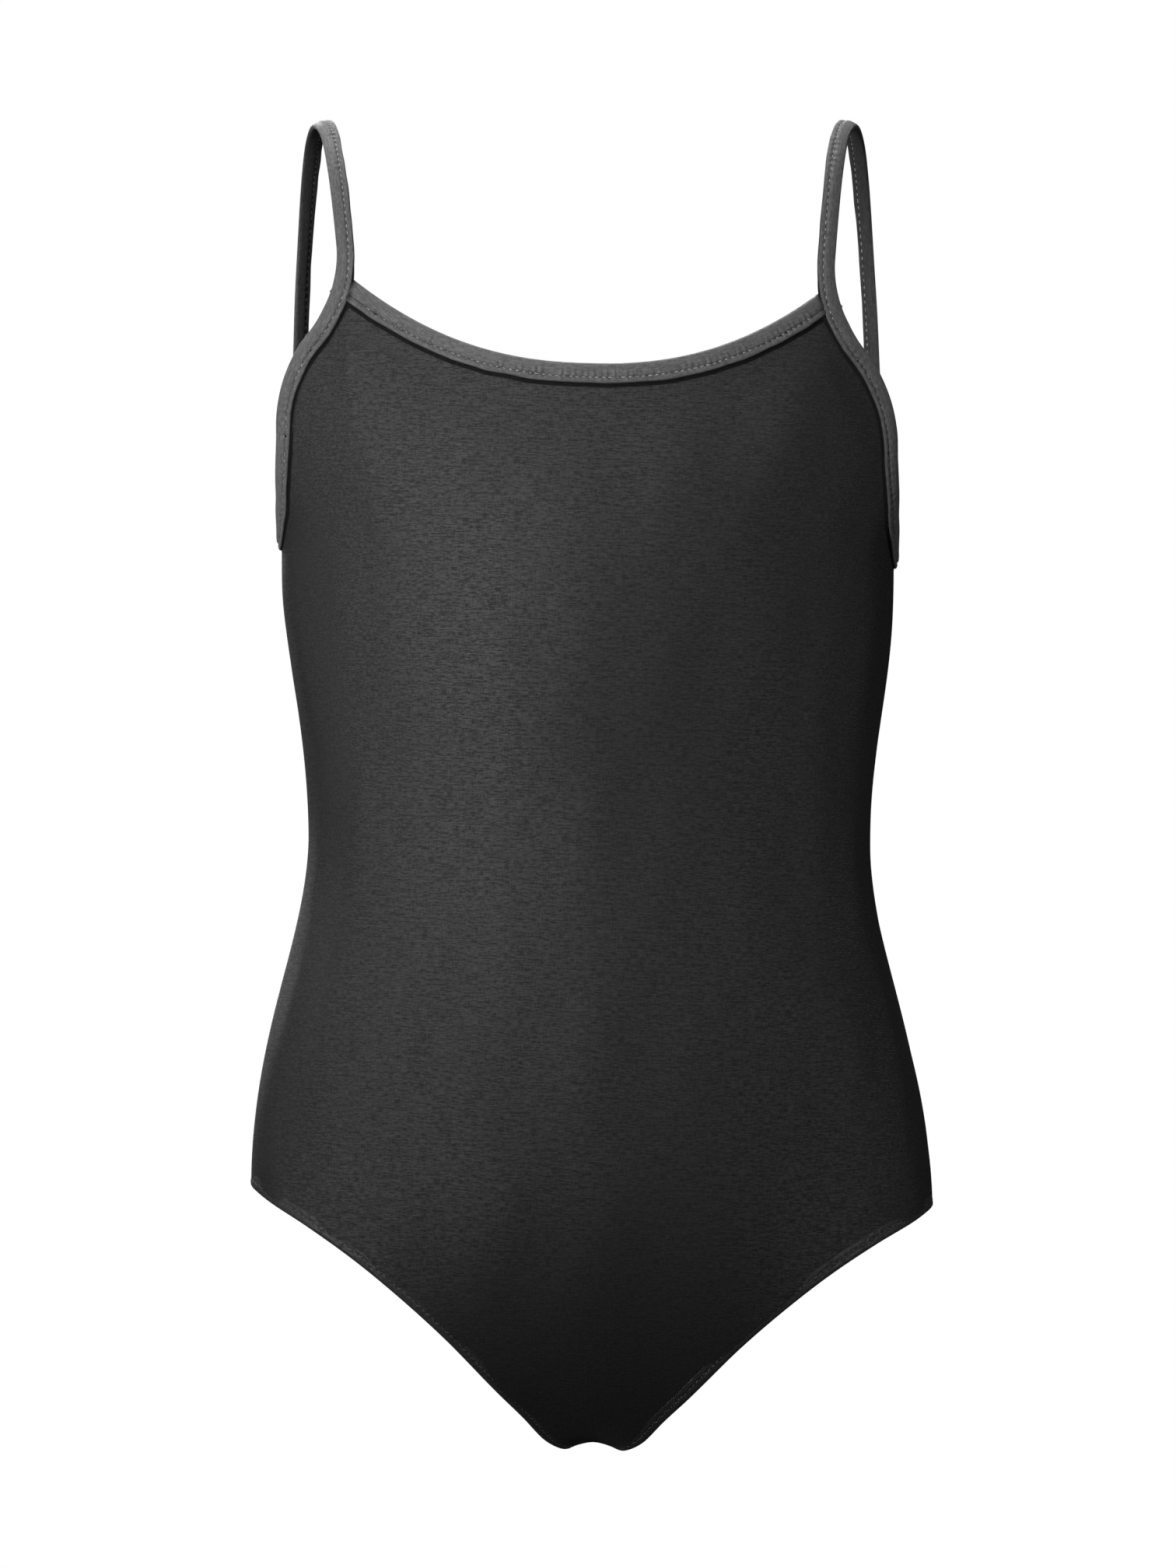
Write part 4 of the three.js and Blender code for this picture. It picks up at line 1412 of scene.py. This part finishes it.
class Creases:
    """Painted shadow beside the sewn-in edges of the strips, where grooves lie."""

    def __init__(self, edges: list[tuple[Ribbon, Side | None]], spread: float) -> None:
        """Find the edges.

        Args:
            edges: The ribbons of the strips, with their sides.
            spread: How far the painted shadow reaches from its edge, in millimetres.
        """
        self.spread = spread
        lines = []
        for ribbon, side in edges:
            fine = ribbon.finely(1.0)
            ones = np.ones((len(fine.middle), 1))
            edge = fine.places(ones, 0.4 * ones)[:, 0]
            lines.append(as_worn(edge[fine.backed > 0.6], side))
        points = np.vstack(lines)
        self.tree = KDTree(len(points))
        for index, point in enumerate(points):
            self.tree.insert(Vector(point), index)
        self.tree.balance()

    def depth(self, points: Array) -> Array:
        """Return how much painted shadow each point gets, from 0 to 1."""
        away = np.array([self.tree.find(p)[2] for p in points.reshape(-1, 3)]) / MM
        return (0.95 * np.exp(-((away / self.spread) ** 2))).reshape(points.shape[:-1])

    def darken(self, made: bpy.types.Object) -> None:
        """Paint shadow on a piece where a strip lies over it."""
        count = len(made.data.vertices)
        points, shade = np.empty(count * 3), np.empty(count)
        made.data.vertices.foreach_get("co", points)
        layer = made.data.attributes["shade"].data
        layer.foreach_get("value", shade)
        deep = np.maximum(shade, self.depth(points.reshape(-1, 3)))
        layer.foreach_set("value", deep.astype(np.float32))


@dataclass(frozen=True)
class Swell:
    """A soft rise of the front panel, in millimetres.

    Attributes:
        angle: Where its middle lies round the body, in radians.
        level: Where its middle lies down the body.
        radius: How far it reaches.
        height: How high it rises.
    """

    angle: float
    level: float
    radius: float
    height: float


@dataclass
class Bodice:
    """The front and back panels, sewn together at the sides and the crotch, in millimetres."""

    finishes: Finishes
    thickness: float = 0.8
    tuck: float = 5.2
    cut_back: float = 3.4  # how far the panel stops short of the leg's folded edge
    strap_width: float = 7.6
    pivot_clearance: float = 0.75
    peak_clearance: float = 0.5
    drape: float = 0.5
    seam_roll: float = 0.7
    seam_spread: float = 1.1
    # millimetres that the painted shadow reaches from a binding's edge onto the panels
    crease: float = 1.3
    chest_columns: int = 52
    side_columns: int = 40
    seam_columns: int = 9
    torso_rows: int = 96
    girth: float = 105.0  # millimetres round the front to a radian
    fold_count: int = 9
    fold_lengths: tuple[float, float] = (30.0, 85.0)
    fold_headings: tuple[float, float] = (-0.6, 0.6)
    fold_strengths: tuple[float, float] = (0.4, 1.0)
    side_depths: tuple[float, float] = (86.0, 95.0)  # of the front and the back, beside the side seams
    swells: tuple[Swell, ...] = (
        Swell(-0.62, -130.0, 32.0, 4.0),
        Swell(0.62, -130.0, 32.0, 4.0),
        Swell(-0.2, -242.0, 38.0, 2.2),
        Swell(-0.85, -372.0, 34.0, 2.0),
        Swell(0.85, -372.0, 34.0, 2.0),
    )

    def under_edge(self, line: EdgeLine, keep: Callable[[Array], Array]) -> Callable[[Array], Array]:
        """Return how far round the raw edge lies under one of the bindings.

        Args:
            line: The line of the folded edge.
            keep: Says which of its distances round belong to this panel.

        Returns:
            A function from angles to distances round.
        """
        edge = Edge.evenly(line, 1.5)
        kept = keep(edge.way) & (edge.angle >= -0.01)
        angle, way = edge.inset(self.tuck)
        angle, way = angle[kept], way[kept]
        order = np.argsort(angle)
        angle, way = angle[order], way[order]
        first = (way[1] - way[0]) / (angle[1] - angle[0])
        last = (way[-1] - way[-2]) / (angle[-1] - angle[-2])

        def found(at: Array) -> Array:
            """Return the distances round at angles."""
            inside = np.interp(at, angle, way)
            inside = np.where(at < angle[0], way[0] + first * (at - angle[0]), inside)
            return np.where(at > angle[-1], way[-1] + last * (at - angle[-1]), inside)

        return found

    def top(self, front: bool) -> Callable[[Array], Array]:
        """Return where a panel begins, at angles from the centre line."""
        seam = BODY.crotch_round
        round_arm = self.under_edge(PATTERN.armhole, (lambda w: w > seam) if front else (lambda w: w < seam))
        neck = PATTERN.front_neck if front else PATTERN.back_neck
        round_neck = self.under_edge(neck, lambda w: np.ones(len(w), bool))
        under_strap = self.strap_width / 2 + self.pivot_clearance + self.peak_clearance
        highest = BODY.apex - under_strap if front else BODY.behind(BODY.back_apex - under_strap)
        lower = np.minimum if front else np.maximum
        return lambda angle: lower(lower(round_neck(angle), round_arm(angle)), highest)

    def places(self, front: bool) -> tuple[Array, Array]:
        """Return the places of a panel, by row and column."""
        top, seam = self.top(front), QUARTER - 2e-4
        search = np.radians(np.arange(30, 75, 0.05))
        tops = top(search)
        peak = float(search[np.argmax(tops) if front else np.argmin(tops)])
        near = seam - 0.035
        half = np.concatenate(
            [
                np.linspace(0, peak, self.chest_columns, endpoint=False),
                np.linspace(peak, near, self.side_columns, endpoint=False),
                np.linspace(near, seam, self.seam_columns),
            ]
        )
        columns = np.concatenate([-half[:0:-1], half])
        middle = PATTERN.leg_at_crotch
        span = (0.0, middle) if front else (middle, 1.0)
        edge = Edge.evenly(PATTERN.leg, 2.6, *span)
        leg_angle, leg_way = edge.inset(self.cut_back)
        if not front:
            leg_angle, leg_way = leg_angle[::-1], leg_way[::-1]
        leg_angle = np.minimum(leg_angle, seam)
        leg_way[-1] = BODY.crotch_round + (0.15 if front else -0.15)
        step = np.linspace(0, 1, self.torso_rows, endpoint=False)
        fall = 0.18 * step + 0.82 * step**2
        starts = top(np.abs(columns))
        way = [lerp(starts, leg_way[0], part) for part in fall] + [np.full(len(columns), w) for w in leg_way]
        angle = [columns] * len(fall) + [columns * a / seam for a in leg_angle]
        return np.array(angle), np.array(way)

    def relief(self, angle: Array, way: Array, front: bool) -> Array:
        """Return how the cloth swells, drapes and rolls in at its side seams, in millimetres."""
        draw = np.random.default_rng(7 if front else 8)
        over, down = angle * self.girth, way
        made = np.zeros_like(over)
        for _ in range(self.fold_count):
            length = draw.uniform(*self.fold_lengths)
            heading = draw.uniform(*self.fold_headings)
            wave = (over * math.cos(heading) + down * math.sin(heading)) * 2 * math.pi / length
            made += np.sin(wave + draw.uniform(0, 2 * math.pi)) * draw.uniform(*self.fold_strengths)
        from_top = np.abs(way - way[:1])
        calm = smooth(from_top, 2.0, 30.0) * smooth(np.abs(way - BODY.crotch_round), 25.0, 90.0)
        depth = np.where(way > BODY.crotch_round, *self.side_depths)
        from_seam = (QUARTER - np.abs(angle)) * depth
        full = angle[:, -1:] > QUARTER - 0.01
        roll = self.seam_roll * np.exp(-from_seam / self.seam_spread) * full
        rise = np.zeros_like(over)
        for swell in self.swells if front else ():
            away = np.hypot(over - swell.angle * self.girth, way - swell.level)
            rise += swell.height * np.exp(-((away / swell.radius) ** 2))
        return (self.drape * made / 3.0 + rise) * calm - roll

    def build(self, edges: list[tuple[Ribbon, Side | None]]) -> list[bpy.types.Object]:
        """Build both panels.

        Args:
            edges: The ribbons of the bindings that lie on them, with their sides.

        Returns:
            The front and the back panel.
        """
        # painted shadow on the panels beside the bindings' sewn-in edges
        creases = Creases(edges, self.crease)
        made = []
        for name, front in (("front_panel", True), ("back_panel", False)):
            angle, way = self.places(front)
            lift = self.relief(angle, way, front)
            panel = two_layers(f"{name}_cloth", angle, way, lift, self.thickness, None, creases.depth)
            fasten(panel, self.finishes.jersey, "jersey", name)
            made.append(panel)
        declare(made[0], (0.37, 0.5), 0.7)
        declare(made[1], (0.37, 0.5), 0.68)
        return made


# ---------- The shoulder straps ----------


@dataclass
class StrapRoute:
    """The line that a strap follows over the shoulder, in millimetres."""

    top: tuple[float, float, float] = (110.5, -2.0, -2.6)
    landing: tuple[float, float, float] = (120.0, 51.5, -75.0)
    lean: float = 0.43
    tilt: float = 20.0
    width: float = 7.6
    top_share: float = 0.4
    back_share: float = 0.75
    span_samples: int = 90

    def arch(self, landing: Array, progress: float) -> Array:
        """Return a point of the climb from a landing to the top."""
        top = np.array(self.top)
        climb, over = math.sin(progress * QUARTER), 1 - math.cos(progress * QUARTER)
        x = lerp(top[0], landing[0], (1 - climb) ** self.lean)
        return np.array([x, lerp(landing[1], top[1], over), lerp(landing[2], top[2], climb)])

    def ends(self) -> tuple[Array, Array, Array, Array]:
        """Return where the strap is sewn down in front and behind, and its width direction there."""
        edge = Edge.evenly(PATTERN.armhole, 2.9)
        middles = BODY.point(*edge.inset(self.width / 2))
        across = unit(BODY.slopes(edge.angle, edge.way)[0])
        return middles[0], middles[-1], across[0], across[-1]

    def ribbon(self) -> Ribbon:
        """Return the strap as a ribbon, from its front end to its back end."""
        front, back, across_front, across_back = self.ends()
        landing = np.array(self.landing)
        climbs = (0.25, 0.5, 0.75)
        stops = [front, *(self.arch(front, p) for p in climbs), np.array(self.top)]
        stops += [self.arch(landing, p) for p in climbs[::-1]] + [landing, (landing + back) / 2, back]
        knots = np.array([2 * stops[0] - stops[1], *stops, 2 * stops[-1] - stops[-2]])
        gaps = np.linalg.norm(np.diff(knots, axis=0), axis=1) ** 0.5
        line = []
        for i in range(1, len(knots) - 2):
            p0, p1, p2, p3 = knots[i - 1 : i + 3]
            d0, d1, d2 = gaps[i - 1 : i + 2]
            leave = ((p1 - p0) / d0 - (p2 - p0) / (d0 + d1) + (p2 - p1) / d1) * d1
            arrive = ((p2 - p1) / d1 - (p3 - p1) / (d1 + d2) + (p3 - p2) / d2) * d1
            t = np.linspace(0, 1, self.span_samples, endpoint=i == len(knots) - 3)[:, None]
            curve = (-3 * p1 + 3 * p2 - 2 * leave - arrive) * t**2
            line.append(p1 + leave * t + curve + (2 * p1 - 2 * p2 + leave + arrive) * t**3)
        points = np.vstack(line)
        run = run_lengths(points)
        at = np.linspace(0, run[-1], round(run[-1] / 4) + 1)
        middle = np.stack([np.interp(at, run, points[:, k]) for k in range(3)], axis=-1)
        tangent = unit(np.gradient(middle, at, axis=0))
        part = at / run[-1]
        tilt = math.radians(self.tilt)
        at_top = np.array([math.cos(tilt), 0.0, -math.sin(tilt)])
        across = lerp(across_front, at_top, smooth(part, 0, self.top_share)[:, None])
        across = lerp(across, across_back, smooth(part, self.top_share, self.back_share)[:, None])
        across = unit(across - tangent * np.sum(across * tangent, -1)[:, None])
        outward = np.cross(across, tangent)
        free = np.zeros(len(at))
        return Ribbon(middle, across, outward, np.full(len(at), self.width), free)


@dataclass
class StrapLoop:
    """One armhole binding that runs on as the shoulder strap, with its elastic and stitches."""

    finishes: Finishes
    side: Side
    needle: Needlework
    binding_width: float = 8.8
    turn_length: float = 10.0  # of strip at each end of the strap that bends from one line to the other
    bend_length: float = 0.017  # metres up the strap from the swing joint, whose point is worked out and not used
    elastic_start: float = 1.1
    elastic_width: float = 2.2
    stitch_pitch: float = 3.0

    def ribbon(self) -> Ribbon:
        """Return the whole loop: under the arm from front to back, and forward over the shoulder."""
        arm = Ribbon.on_edge(Edge.evenly(PATTERN.armhole, 4.0), 0.0, self.binding_width)
        over = StrapRoute().ribbon()
        parts = []
        for ribbon in (arm, over):
            run = ribbon.run()
            parts.append(ribbon.part_of((run > self.turn_length) & (run < run[-1] - self.turn_length)))
        arm, over = parts
        return Ribbon.unpacked(np.vstack([arm.packed(), over.packed()[::-1]]), closed=True)

    def bends(self, made: bpy.types.Object) -> None:
        """Read the strap's swing joint, and bake the piece's placing into its mesh."""
        name = self.side.label
        joint = next(j for j in frame["joints"] if j["name"] == f"strap_{name}_swing")
        start, axis = Vector(joint["pos_m"]), Vector(joint["axis"]).normalized()
        up = Vector((0.0, 0.0, 1.0))
        rise = (up - axis * up.dot(axis)).normalized()
        start + rise * self.bend_length
        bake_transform(made)

    def build(self) -> Ribbon:
        """Build the loop and return its line."""
        name, ribbon = self.side.label, self.ribbon()
        seed = 40 + self.side.value
        strip = Binding(pitch=self.stitch_pitch, pucker=0.15, wrinkle=0.09, step=0.5)
        made = strip.build(f"strap_and_armhole_{name}", ribbon, self.side, seed)
        dress(made, self.finishes.binding, "binding_jersey", f"armhole_binding_{name}", f"strap_{name}")
        length = float(ribbon.run()[-1]) * MM
        self.bends(made)
        declare(made, (0.02, round(length, 3)), 1.0)
        tape = Tape.inside(self.binding_width, self.elastic_start, self.elastic_width)
        elastic = tape.build(f"strap_and_armhole_elastic_{name}", ribbon, self.side, seed)
        nodes = (f"armhole_elastic_{name}", f"strap_elastic_{name}")
        dress(elastic, self.finishes.elastic, "elastic", *nodes)
        self.bends(elastic)
        stitch, rows = Stitch(pitch=self.stitch_pitch, length=1.7), strip.rows()
        sewn = self.needle.row(f"strap_and_armhole_stitches_{name}", ribbon, stitch, rows, self.side, seed)
        nodes = (f"armhole_stitching_{name}", f"strap_stitching_{name}")
        dress(sewn, self.finishes.thread, "sewing_thread", *nodes)
        self.bends(sewn)
        return ribbon


# ---------- The necklines ----------


@dataclass
class Neckline:
    """The front or the back neckline's binding, whose ends pass under the shoulder strips."""

    finishes: Finishes
    needle: Needlework
    name: str
    line: EdgeLine
    overrun: float  # share of the line by which each end goes on under the strip
    seed: int
    width: float = 8.8
    elastic_start: float = 1.1
    elastic_width: float = 2.2
    elastic_stop: float = 9.0
    stitch_stop: float = 5.0

    def build(self, over: Creases) -> Ribbon:
        """Build the neckline and return its line.

        Args:
            over: The painted shadow of the shoulder strips that lie over its ends.

        Returns:
            Its ribbon.
        """
        edge = Edge.evenly(self.line, 4.0, -self.overrun, 1 + self.overrun)
        ribbon = Ribbon.on_edge(edge, 0.0, self.width)
        strip = Binding(taper=9.0, step=0.42)
        made = strip.build(f"neck_binding_{self.name}_strip", ribbon, None, self.seed)
        over.darken(made)
        fasten(made, self.finishes.binding, "binding_jersey", f"neck_binding_{self.name}")
        run = ribbon.run()
        declare(made, (0.02, round(float(run[-1]) * MM, 3)), 1.0)
        inner = ribbon.part_of((run > self.elastic_stop) & (run < run[-1] - self.elastic_stop))
        tape = Tape.inside(self.width, self.elastic_start, self.elastic_width)
        elastic = tape.build(f"neck_elastic_{self.name}_tape", inner, None, self.seed)
        fasten(elastic, self.finishes.elastic, "elastic", f"neck_elastic_{self.name}")
        kept = ribbon.part_of((run > self.stitch_stop) & (run < run[-1] - self.stitch_stop))
        sewn = self.needle.row(f"neck_stitches_{self.name}", kept, Stitch(), strip.rows(), None, self.seed)
        fasten(sewn, self.finishes.thread, "sewing_thread", f"neck_stitching_{self.name}")
        return ribbon


# ---------- The leg openings ----------


@dataclass
class LegOpening:
    """One leg's turned hem, with its elastic and its stitches."""

    finishes: Finishes
    side: Side
    needle: Needlework
    width: float = 5.5
    elastic_start: float = 1.1
    elastic_width: float = 3.4
    elastic_top: float = -0.75
    elastic_thickness: float = 0.8

    def build(self) -> None:
        """Build the hem all round the leg."""
        name, seed = self.side.label, 60 + self.side.value
        edge = Edge.evenly(PATTERN.leg, 4.0)
        ribbon = Ribbon.unpacked(Ribbon.on_edge(edge, 0.0, self.width).packed()[:-1], closed=True)
        hem = Hem()
        made = hem.build(f"leg_hem_{name}_fold", ribbon, self.side, seed)
        fasten(made, self.finishes.hem, "hem_jersey", f"leg_hem_{name}")
        declare(made, (0.015, round(float(ribbon.run()[-1]) * MM, 3)), 1.0)
        low = self.elastic_top - self.elastic_thickness
        place = (self.width, self.elastic_start, self.elastic_width)
        tape = Tape.inside(*place, low=low, high=self.elastic_top)
        elastic = tape.build(f"leg_elastic_{name}_tape", ribbon, self.side, seed)
        fasten(elastic, self.finishes.elastic, "elastic", f"leg_elastic_{name}")
        stitch = Stitch(length=2.2, thickness=0.4, pitch=hem.pitch, swing=0.32, sink=0.02)
        sewn = self.needle.row(f"leg_stitches_{name}", ribbon, stitch, hem.rows(), self.side, seed)
        fasten(sewn, self.finishes.seam_thread, "sewing_thread", f"leg_stitching_{name}")


# ---------- Seams, lining and labels ----------


@dataclass
class Inside:
    """What is sewn inside: the side and crotch seams, the gusset lining and the labels."""

    finishes: Finishes
    needle: Needlework
    seam_start: float = 0.35
    seam_width: float = 6.0
    seam_low: float = -1.6
    seam_high: float = -1.0
    seam_from: float = -185.2  # level just under the armhole binding
    seam_to: float = -445.0
    lining_standoff: float = -2.4
    lining_thickness: float = 0.8
    lining_inset: float = 6.4
    lining_reach: float = 64.0
    lining_columns: int = 25
    lining_flat: tuple[float, float] = (0.06, 0.128)  # metres that it is cut from
    lining_cover: float = 0.6
    label_thickness: float = 0.4
    label_steps: int = 24
    size_label_flat: tuple[float, float] = (0.024, 0.014)
    size_label_drop: float = 3.0  # below the edge of the back neckline
    care_label_flat: tuple[float, float] = (0.022, 0.038)
    care_label_level: float = -340.0

    def overlock(self, name: str, ribbon: Ribbon, side: Side | None, seed: int) -> None:
        """Sew one overlocked seam: its two raw edges as a tape, with threads looped to and fro."""
        tape = Tape(low=self.seam_low, high=self.seam_high, wrinkle=0.05)
        made = tape.build(f"{name}_edges", ribbon, side, seed)
        fasten(made, self.finishes.lining, "jersey", name)
        under = [(0.5, level_row(self.seam_low - 0.05))]
        loop = Stitch(length=self.seam_width * 0.95, thickness=0.4, pitch=1.3, swing=4.5)
        sewn = self.needle.row(f"{name}_threads", ribbon, loop, under, side, seed)
        fasten(sewn, self.finishes.seam_thread, "sewing_thread")

    def side_seams(self) -> None:
        """Sew the two side seams."""
        way = BODY.behind(np.linspace(self.seam_to, self.seam_from, 60))
        along = np.tile([0.0, 0.0, 1.0], (len(way), 1))
        edge = Edge(np.full(len(way), QUARTER), way, along)
        for side in Side:
            ribbon = Ribbon.on_edge(edge, self.seam_start, self.seam_width)
            self.overlock(f"side_seam_{side.label}", ribbon, side, 80 + side.value)

    def crotch(self) -> None:
        """Sew the crotch seam, and the cotton lining over it with a row at each end."""
        reach = math.asin((BODY.gusset_half - self.lining_inset) / BODY.hip_half)

        def across(t: Array) -> tuple[Array, Array]:
            """Return places across the crotch."""
            return lerp(-reach, reach, t), np.full_like(t, BODY.crotch_round + 1e-6)

        seam = Ribbon.on_edge(Edge.evenly(across, 1.5), -self.seam_width / 2, self.seam_width / 2)
        self.overlock("crotch_seam", seam, None, 90)
        edge = Edge.evenly(PATTERN.leg, 2.0)
        near = np.abs(edge.way - BODY.crotch_round) < self.lining_reach
        angle, way = (places[near] for places in edge.inset(self.lining_inset))
        columns = np.linspace(-1, 1, self.lining_columns)
        wave = 0.12 * np.sin(way[:, None] / 3.1) * np.cos(columns[None] * 4)
        made = two_layers(
            "gusset_lining_cloth",
            angle[:, None] * columns[None],
            np.repeat(way[:, None], len(columns), axis=1),
            self.lining_standoff + wave,
            self.lining_thickness,
        )
        fasten(made, self.finishes.lining, "lining_jersey", "gusset_lining")
        declare(made, self.lining_flat, self.lining_cover)
        rows = [(0.5, level_row(self.lining_standoff - self.lining_thickness / 2))]
        for name, index, inset in (("front", 0, 2.0), ("back", -1, -2.0)):
            half = angle[index] * 0.94
            level = way[index]

            def end(t: Array, half: float = half, level: float = level) -> tuple[Array, Array]:
                """Return places along one end of the lining."""
                return lerp(-half, half, t), np.full_like(t, level)

            line = Ribbon.on_edge(Edge.evenly(end, 2.0), inset - 1.0, inset + 1.0)
            zigzag = Stitch(length=2.4, thickness=0.36, pitch=1.5, swing=0.9)
            sewn = self.needle.row(f"gusset_stitches_{name}", line, zigzag, rows, None, 95 + index)
            fasten(sewn, self.finishes.seam_thread, "sewing_thread", f"gusset_seam_{name}")

    def label(
        self,
        name: str,
        angles: tuple[float, float],
        ways: tuple[float, float],
        standoff: float,
        curl: float,
        flat: tuple[float, float],
        side: Side | None,
    ) -> None:
        """Sew in one blank woven label.

        Args:
            name: The label's CAD node.
            angles: Where it begins and ends round the body.
            ways: Where it begins and ends down the body.
            standoff: How far its middle lies off the body.
            curl: How far its free end curls, in millimetres.
            flat: Its width and length in metres.
            side: The side it is on, or None.
        """
        down = np.linspace(0, 1, self.label_steps)[:, None]
        over = np.linspace(0, 1, self.label_steps)[None]
        angle = lerp(*angles, over + 0 * down)
        way = lerp(*ways, down + 0 * over)
        lift = standoff - curl * down**2 - 0.15 * np.sin(over * 5 + down * 4) * down
        made = two_layers(f"{name}_ribbon", angle, way, lift, self.label_thickness, side)
        fasten(made, self.finishes.label, "label", name)
        declare(made, flat, 1.0)

    def labels(self) -> None:
        """Sew the size label inside the back neck and the care label into a side seam."""
        width, height = (size / MM for size in self.size_label_flat)
        wide = width / 2 / BODY.chest_half
        neck = BODY.back_neck_low - self.size_label_drop
        ways = (BODY.behind(neck), BODY.behind(neck - height))
        self.label("size_label", (-wide, wide), ways, -2.2, 0.8, self.size_label_flat, None)
        width, height = (size / MM for size in self.care_label_flat)
        start = QUARTER - width / BODY.back.seat
        ways = (BODY.behind(self.care_label_level), BODY.behind(self.care_label_level - height))
        self.label("care_label", (start, QUARTER), ways, -2.25, 0.6, self.care_label_flat, Side.LEFT)

    def build(self) -> None:
        """Build everything inside."""
        self.side_seams()
        self.crotch()
        self.labels()


# ---------- The studio ----------


@dataclass(frozen=True)
class SoftLight:
    """A square soft light that faces the garment."""

    name: str
    place: tuple[float, float, float]
    size: float
    power: float
    spread: float  # degrees its light fans out over
    aim: float  # the level it points at


@dataclass
class Studio:
    """A pale floor, soft lights and the camera straight in front."""

    floor_level: float = -1.5
    floor_half: float = 3.5
    floor_glow: float = 0.95
    aim: tuple[float, float, float] = (0.0013, 0.0, -0.2788)
    distance: float = 5.0
    frame_height: float = 0.6567  # metres of the garment's own plane that the picture takes in
    sensor: float = 36.0
    ambient: float = 0.014
    backdrop: float = 1.0
    lights: tuple[SoftLight, ...] = (
        SoftLight("key", (-1.3, -2.5, 0.45), 0.5, 0.44, 14.5, -0.14),
        SoftLight("top", (-0.35, -0.7, 1.6), 0.7, 0.22, 35.0, -0.1),
        SoftLight("rim", (-0.35, 0.7, 1.6), 0.7, 1.5, 35.0, -0.12),
        SoftLight("left", (-2.4, -1.0, -0.3), 0.7, 0.4, 18.0, -0.34),
        SoftLight("right", (2.4, -1.1, -0.6), 0.7, 0.2, 20.0, -0.36),
        SoftLight("back", (-0.6, 2.9, 0.8), 1.2, 4.0, 40.0, -0.28),
    )

    def floor(self) -> None:
        """Lay the pale floor, evenly lit, which throws no light back up under the garment."""
        bpy.ops.object.select_all(action="DESELECT")
        place = (0.0, 0.0, self.floor_level)
        bpy.ops.mesh.primitive_plane_add(size=2 * self.floor_half, location=place)
        floor = bpy.context.active_object
        floor.name = "floor"
        recipe = Recipe("pale floor")
        place_on = recipe.node("ShaderNodeTexCoord", {}, {}, "Object")
        mottle = recipe.noise(place_on, (3.0, 3.0, 3.0), 2.0)
        colour = recipe.tint(mottle, grey(0.8), grey(0.86))
        glow = {"Emission Color": colour, "Emission Strength": self.floor_glow}
        shine = recipe.node("ShaderNodeBsdfPrincipled", {}, {"Base Color": grey(0.0), **glow})
        recipe.node("ShaderNodeOutputMaterial", {}, {"Surface": shine})
        floor.data.materials.append(recipe.material)
        floor.visible_diffuse = False
        floor.visible_glossy = False

    def air(self) -> None:
        """Light the room softly from all round, against a white surround."""
        world = bpy.data.worlds.new("soft room")
        bpy.context.scene.world = world
        world.use_nodes = True
        tree = world.node_tree
        tree.nodes.clear()
        seen = tree.nodes.new("ShaderNodeLightPath")
        strength = tree.nodes.new("ShaderNodeMapRange")
        strength.inputs[3].default_value = self.ambient
        strength.inputs[4].default_value = self.backdrop
        shine = tree.nodes.new("ShaderNodeBackground")
        shine.inputs["Color"].default_value = grey(1.0)
        out = tree.nodes.new("ShaderNodeOutputWorld")
        tree.links.new(seen.outputs["Is Camera Ray"], strength.inputs[0])
        tree.links.new(strength.outputs[0], shine.inputs["Strength"])
        tree.links.new(shine.outputs[0], out.inputs["Surface"])

    def lamps(self) -> None:
        """Hang the soft lights."""
        for light in self.lights:
            data = bpy.data.lights.new(light.name, "AREA")
            data.size = light.size
            data.energy = light.power
            data.spread = math.radians(light.spread)
            lamp = bpy.data.objects.new(light.name, data)
            lamp.location = light.place
            aim = Vector((self.aim[0], 0.0, light.aim)) - Vector(light.place)
            lamp.rotation_euler = aim.to_track_quat("-Z", "Y").to_euler()
            bpy.context.scene.collection.objects.link(lamp)

    def camera(self) -> None:
        """Place the camera."""
        data = bpy.data.cameras.new("camera")
        data.sensor_width = self.sensor
        data.lens = self.sensor * self.distance / self.frame_height
        camera = bpy.data.objects.new("camera", data)
        camera.location = Vector(self.aim) + Vector((0.0, -self.distance, 0.0))
        camera.rotation_euler = (QUARTER, 0.0, 0.0)
        bpy.context.scene.collection.objects.link(camera)
        bpy.context.scene.camera = camera

    def build(self) -> None:
        """Set up the studio."""
        self.floor()
        self.air()
        self.lamps()
        self.camera()
        bpy.context.scene.view_settings.view_transform = "Standard"


# ---------- The leotard ----------

STRIP_SHADOW = 1.7  # millimetres that a shoulder strip darkens of the neckline beneath it


def main() -> None:
    """Build the leotard and its studio."""
    logging.basicConfig(level=logging.INFO, format="%(message)s")
    finishes, needle = Finishes.mix(), Needlework()
    loops = [(StrapLoop(finishes, side, needle).build(), side) for side in Side]
    LOG.info("straps and armholes done")
    # painted shadow of the shoulder strips on the necklines
    over = Creases(loops, STRIP_SHADOW)
    necks = (("front", PATTERN.front_neck, 0.028, 11), ("back", PATTERN.back_neck, 0.02, 21))
    necklines = [(Neckline(finishes, needle, *neck).build(over), None) for neck in necks]
    LOG.info("necklines done")
    Bodice(finishes).build([*loops, *necklines])
    LOG.info("panels done")
    for side in Side:
        LegOpening(finishes, side, needle).build()
    LOG.info("leg openings done")
    Inside(finishes, needle).build()
    LOG.info("seams, lining and labels done")
    Studio().build()


if __name__ == "__main__":
    main()
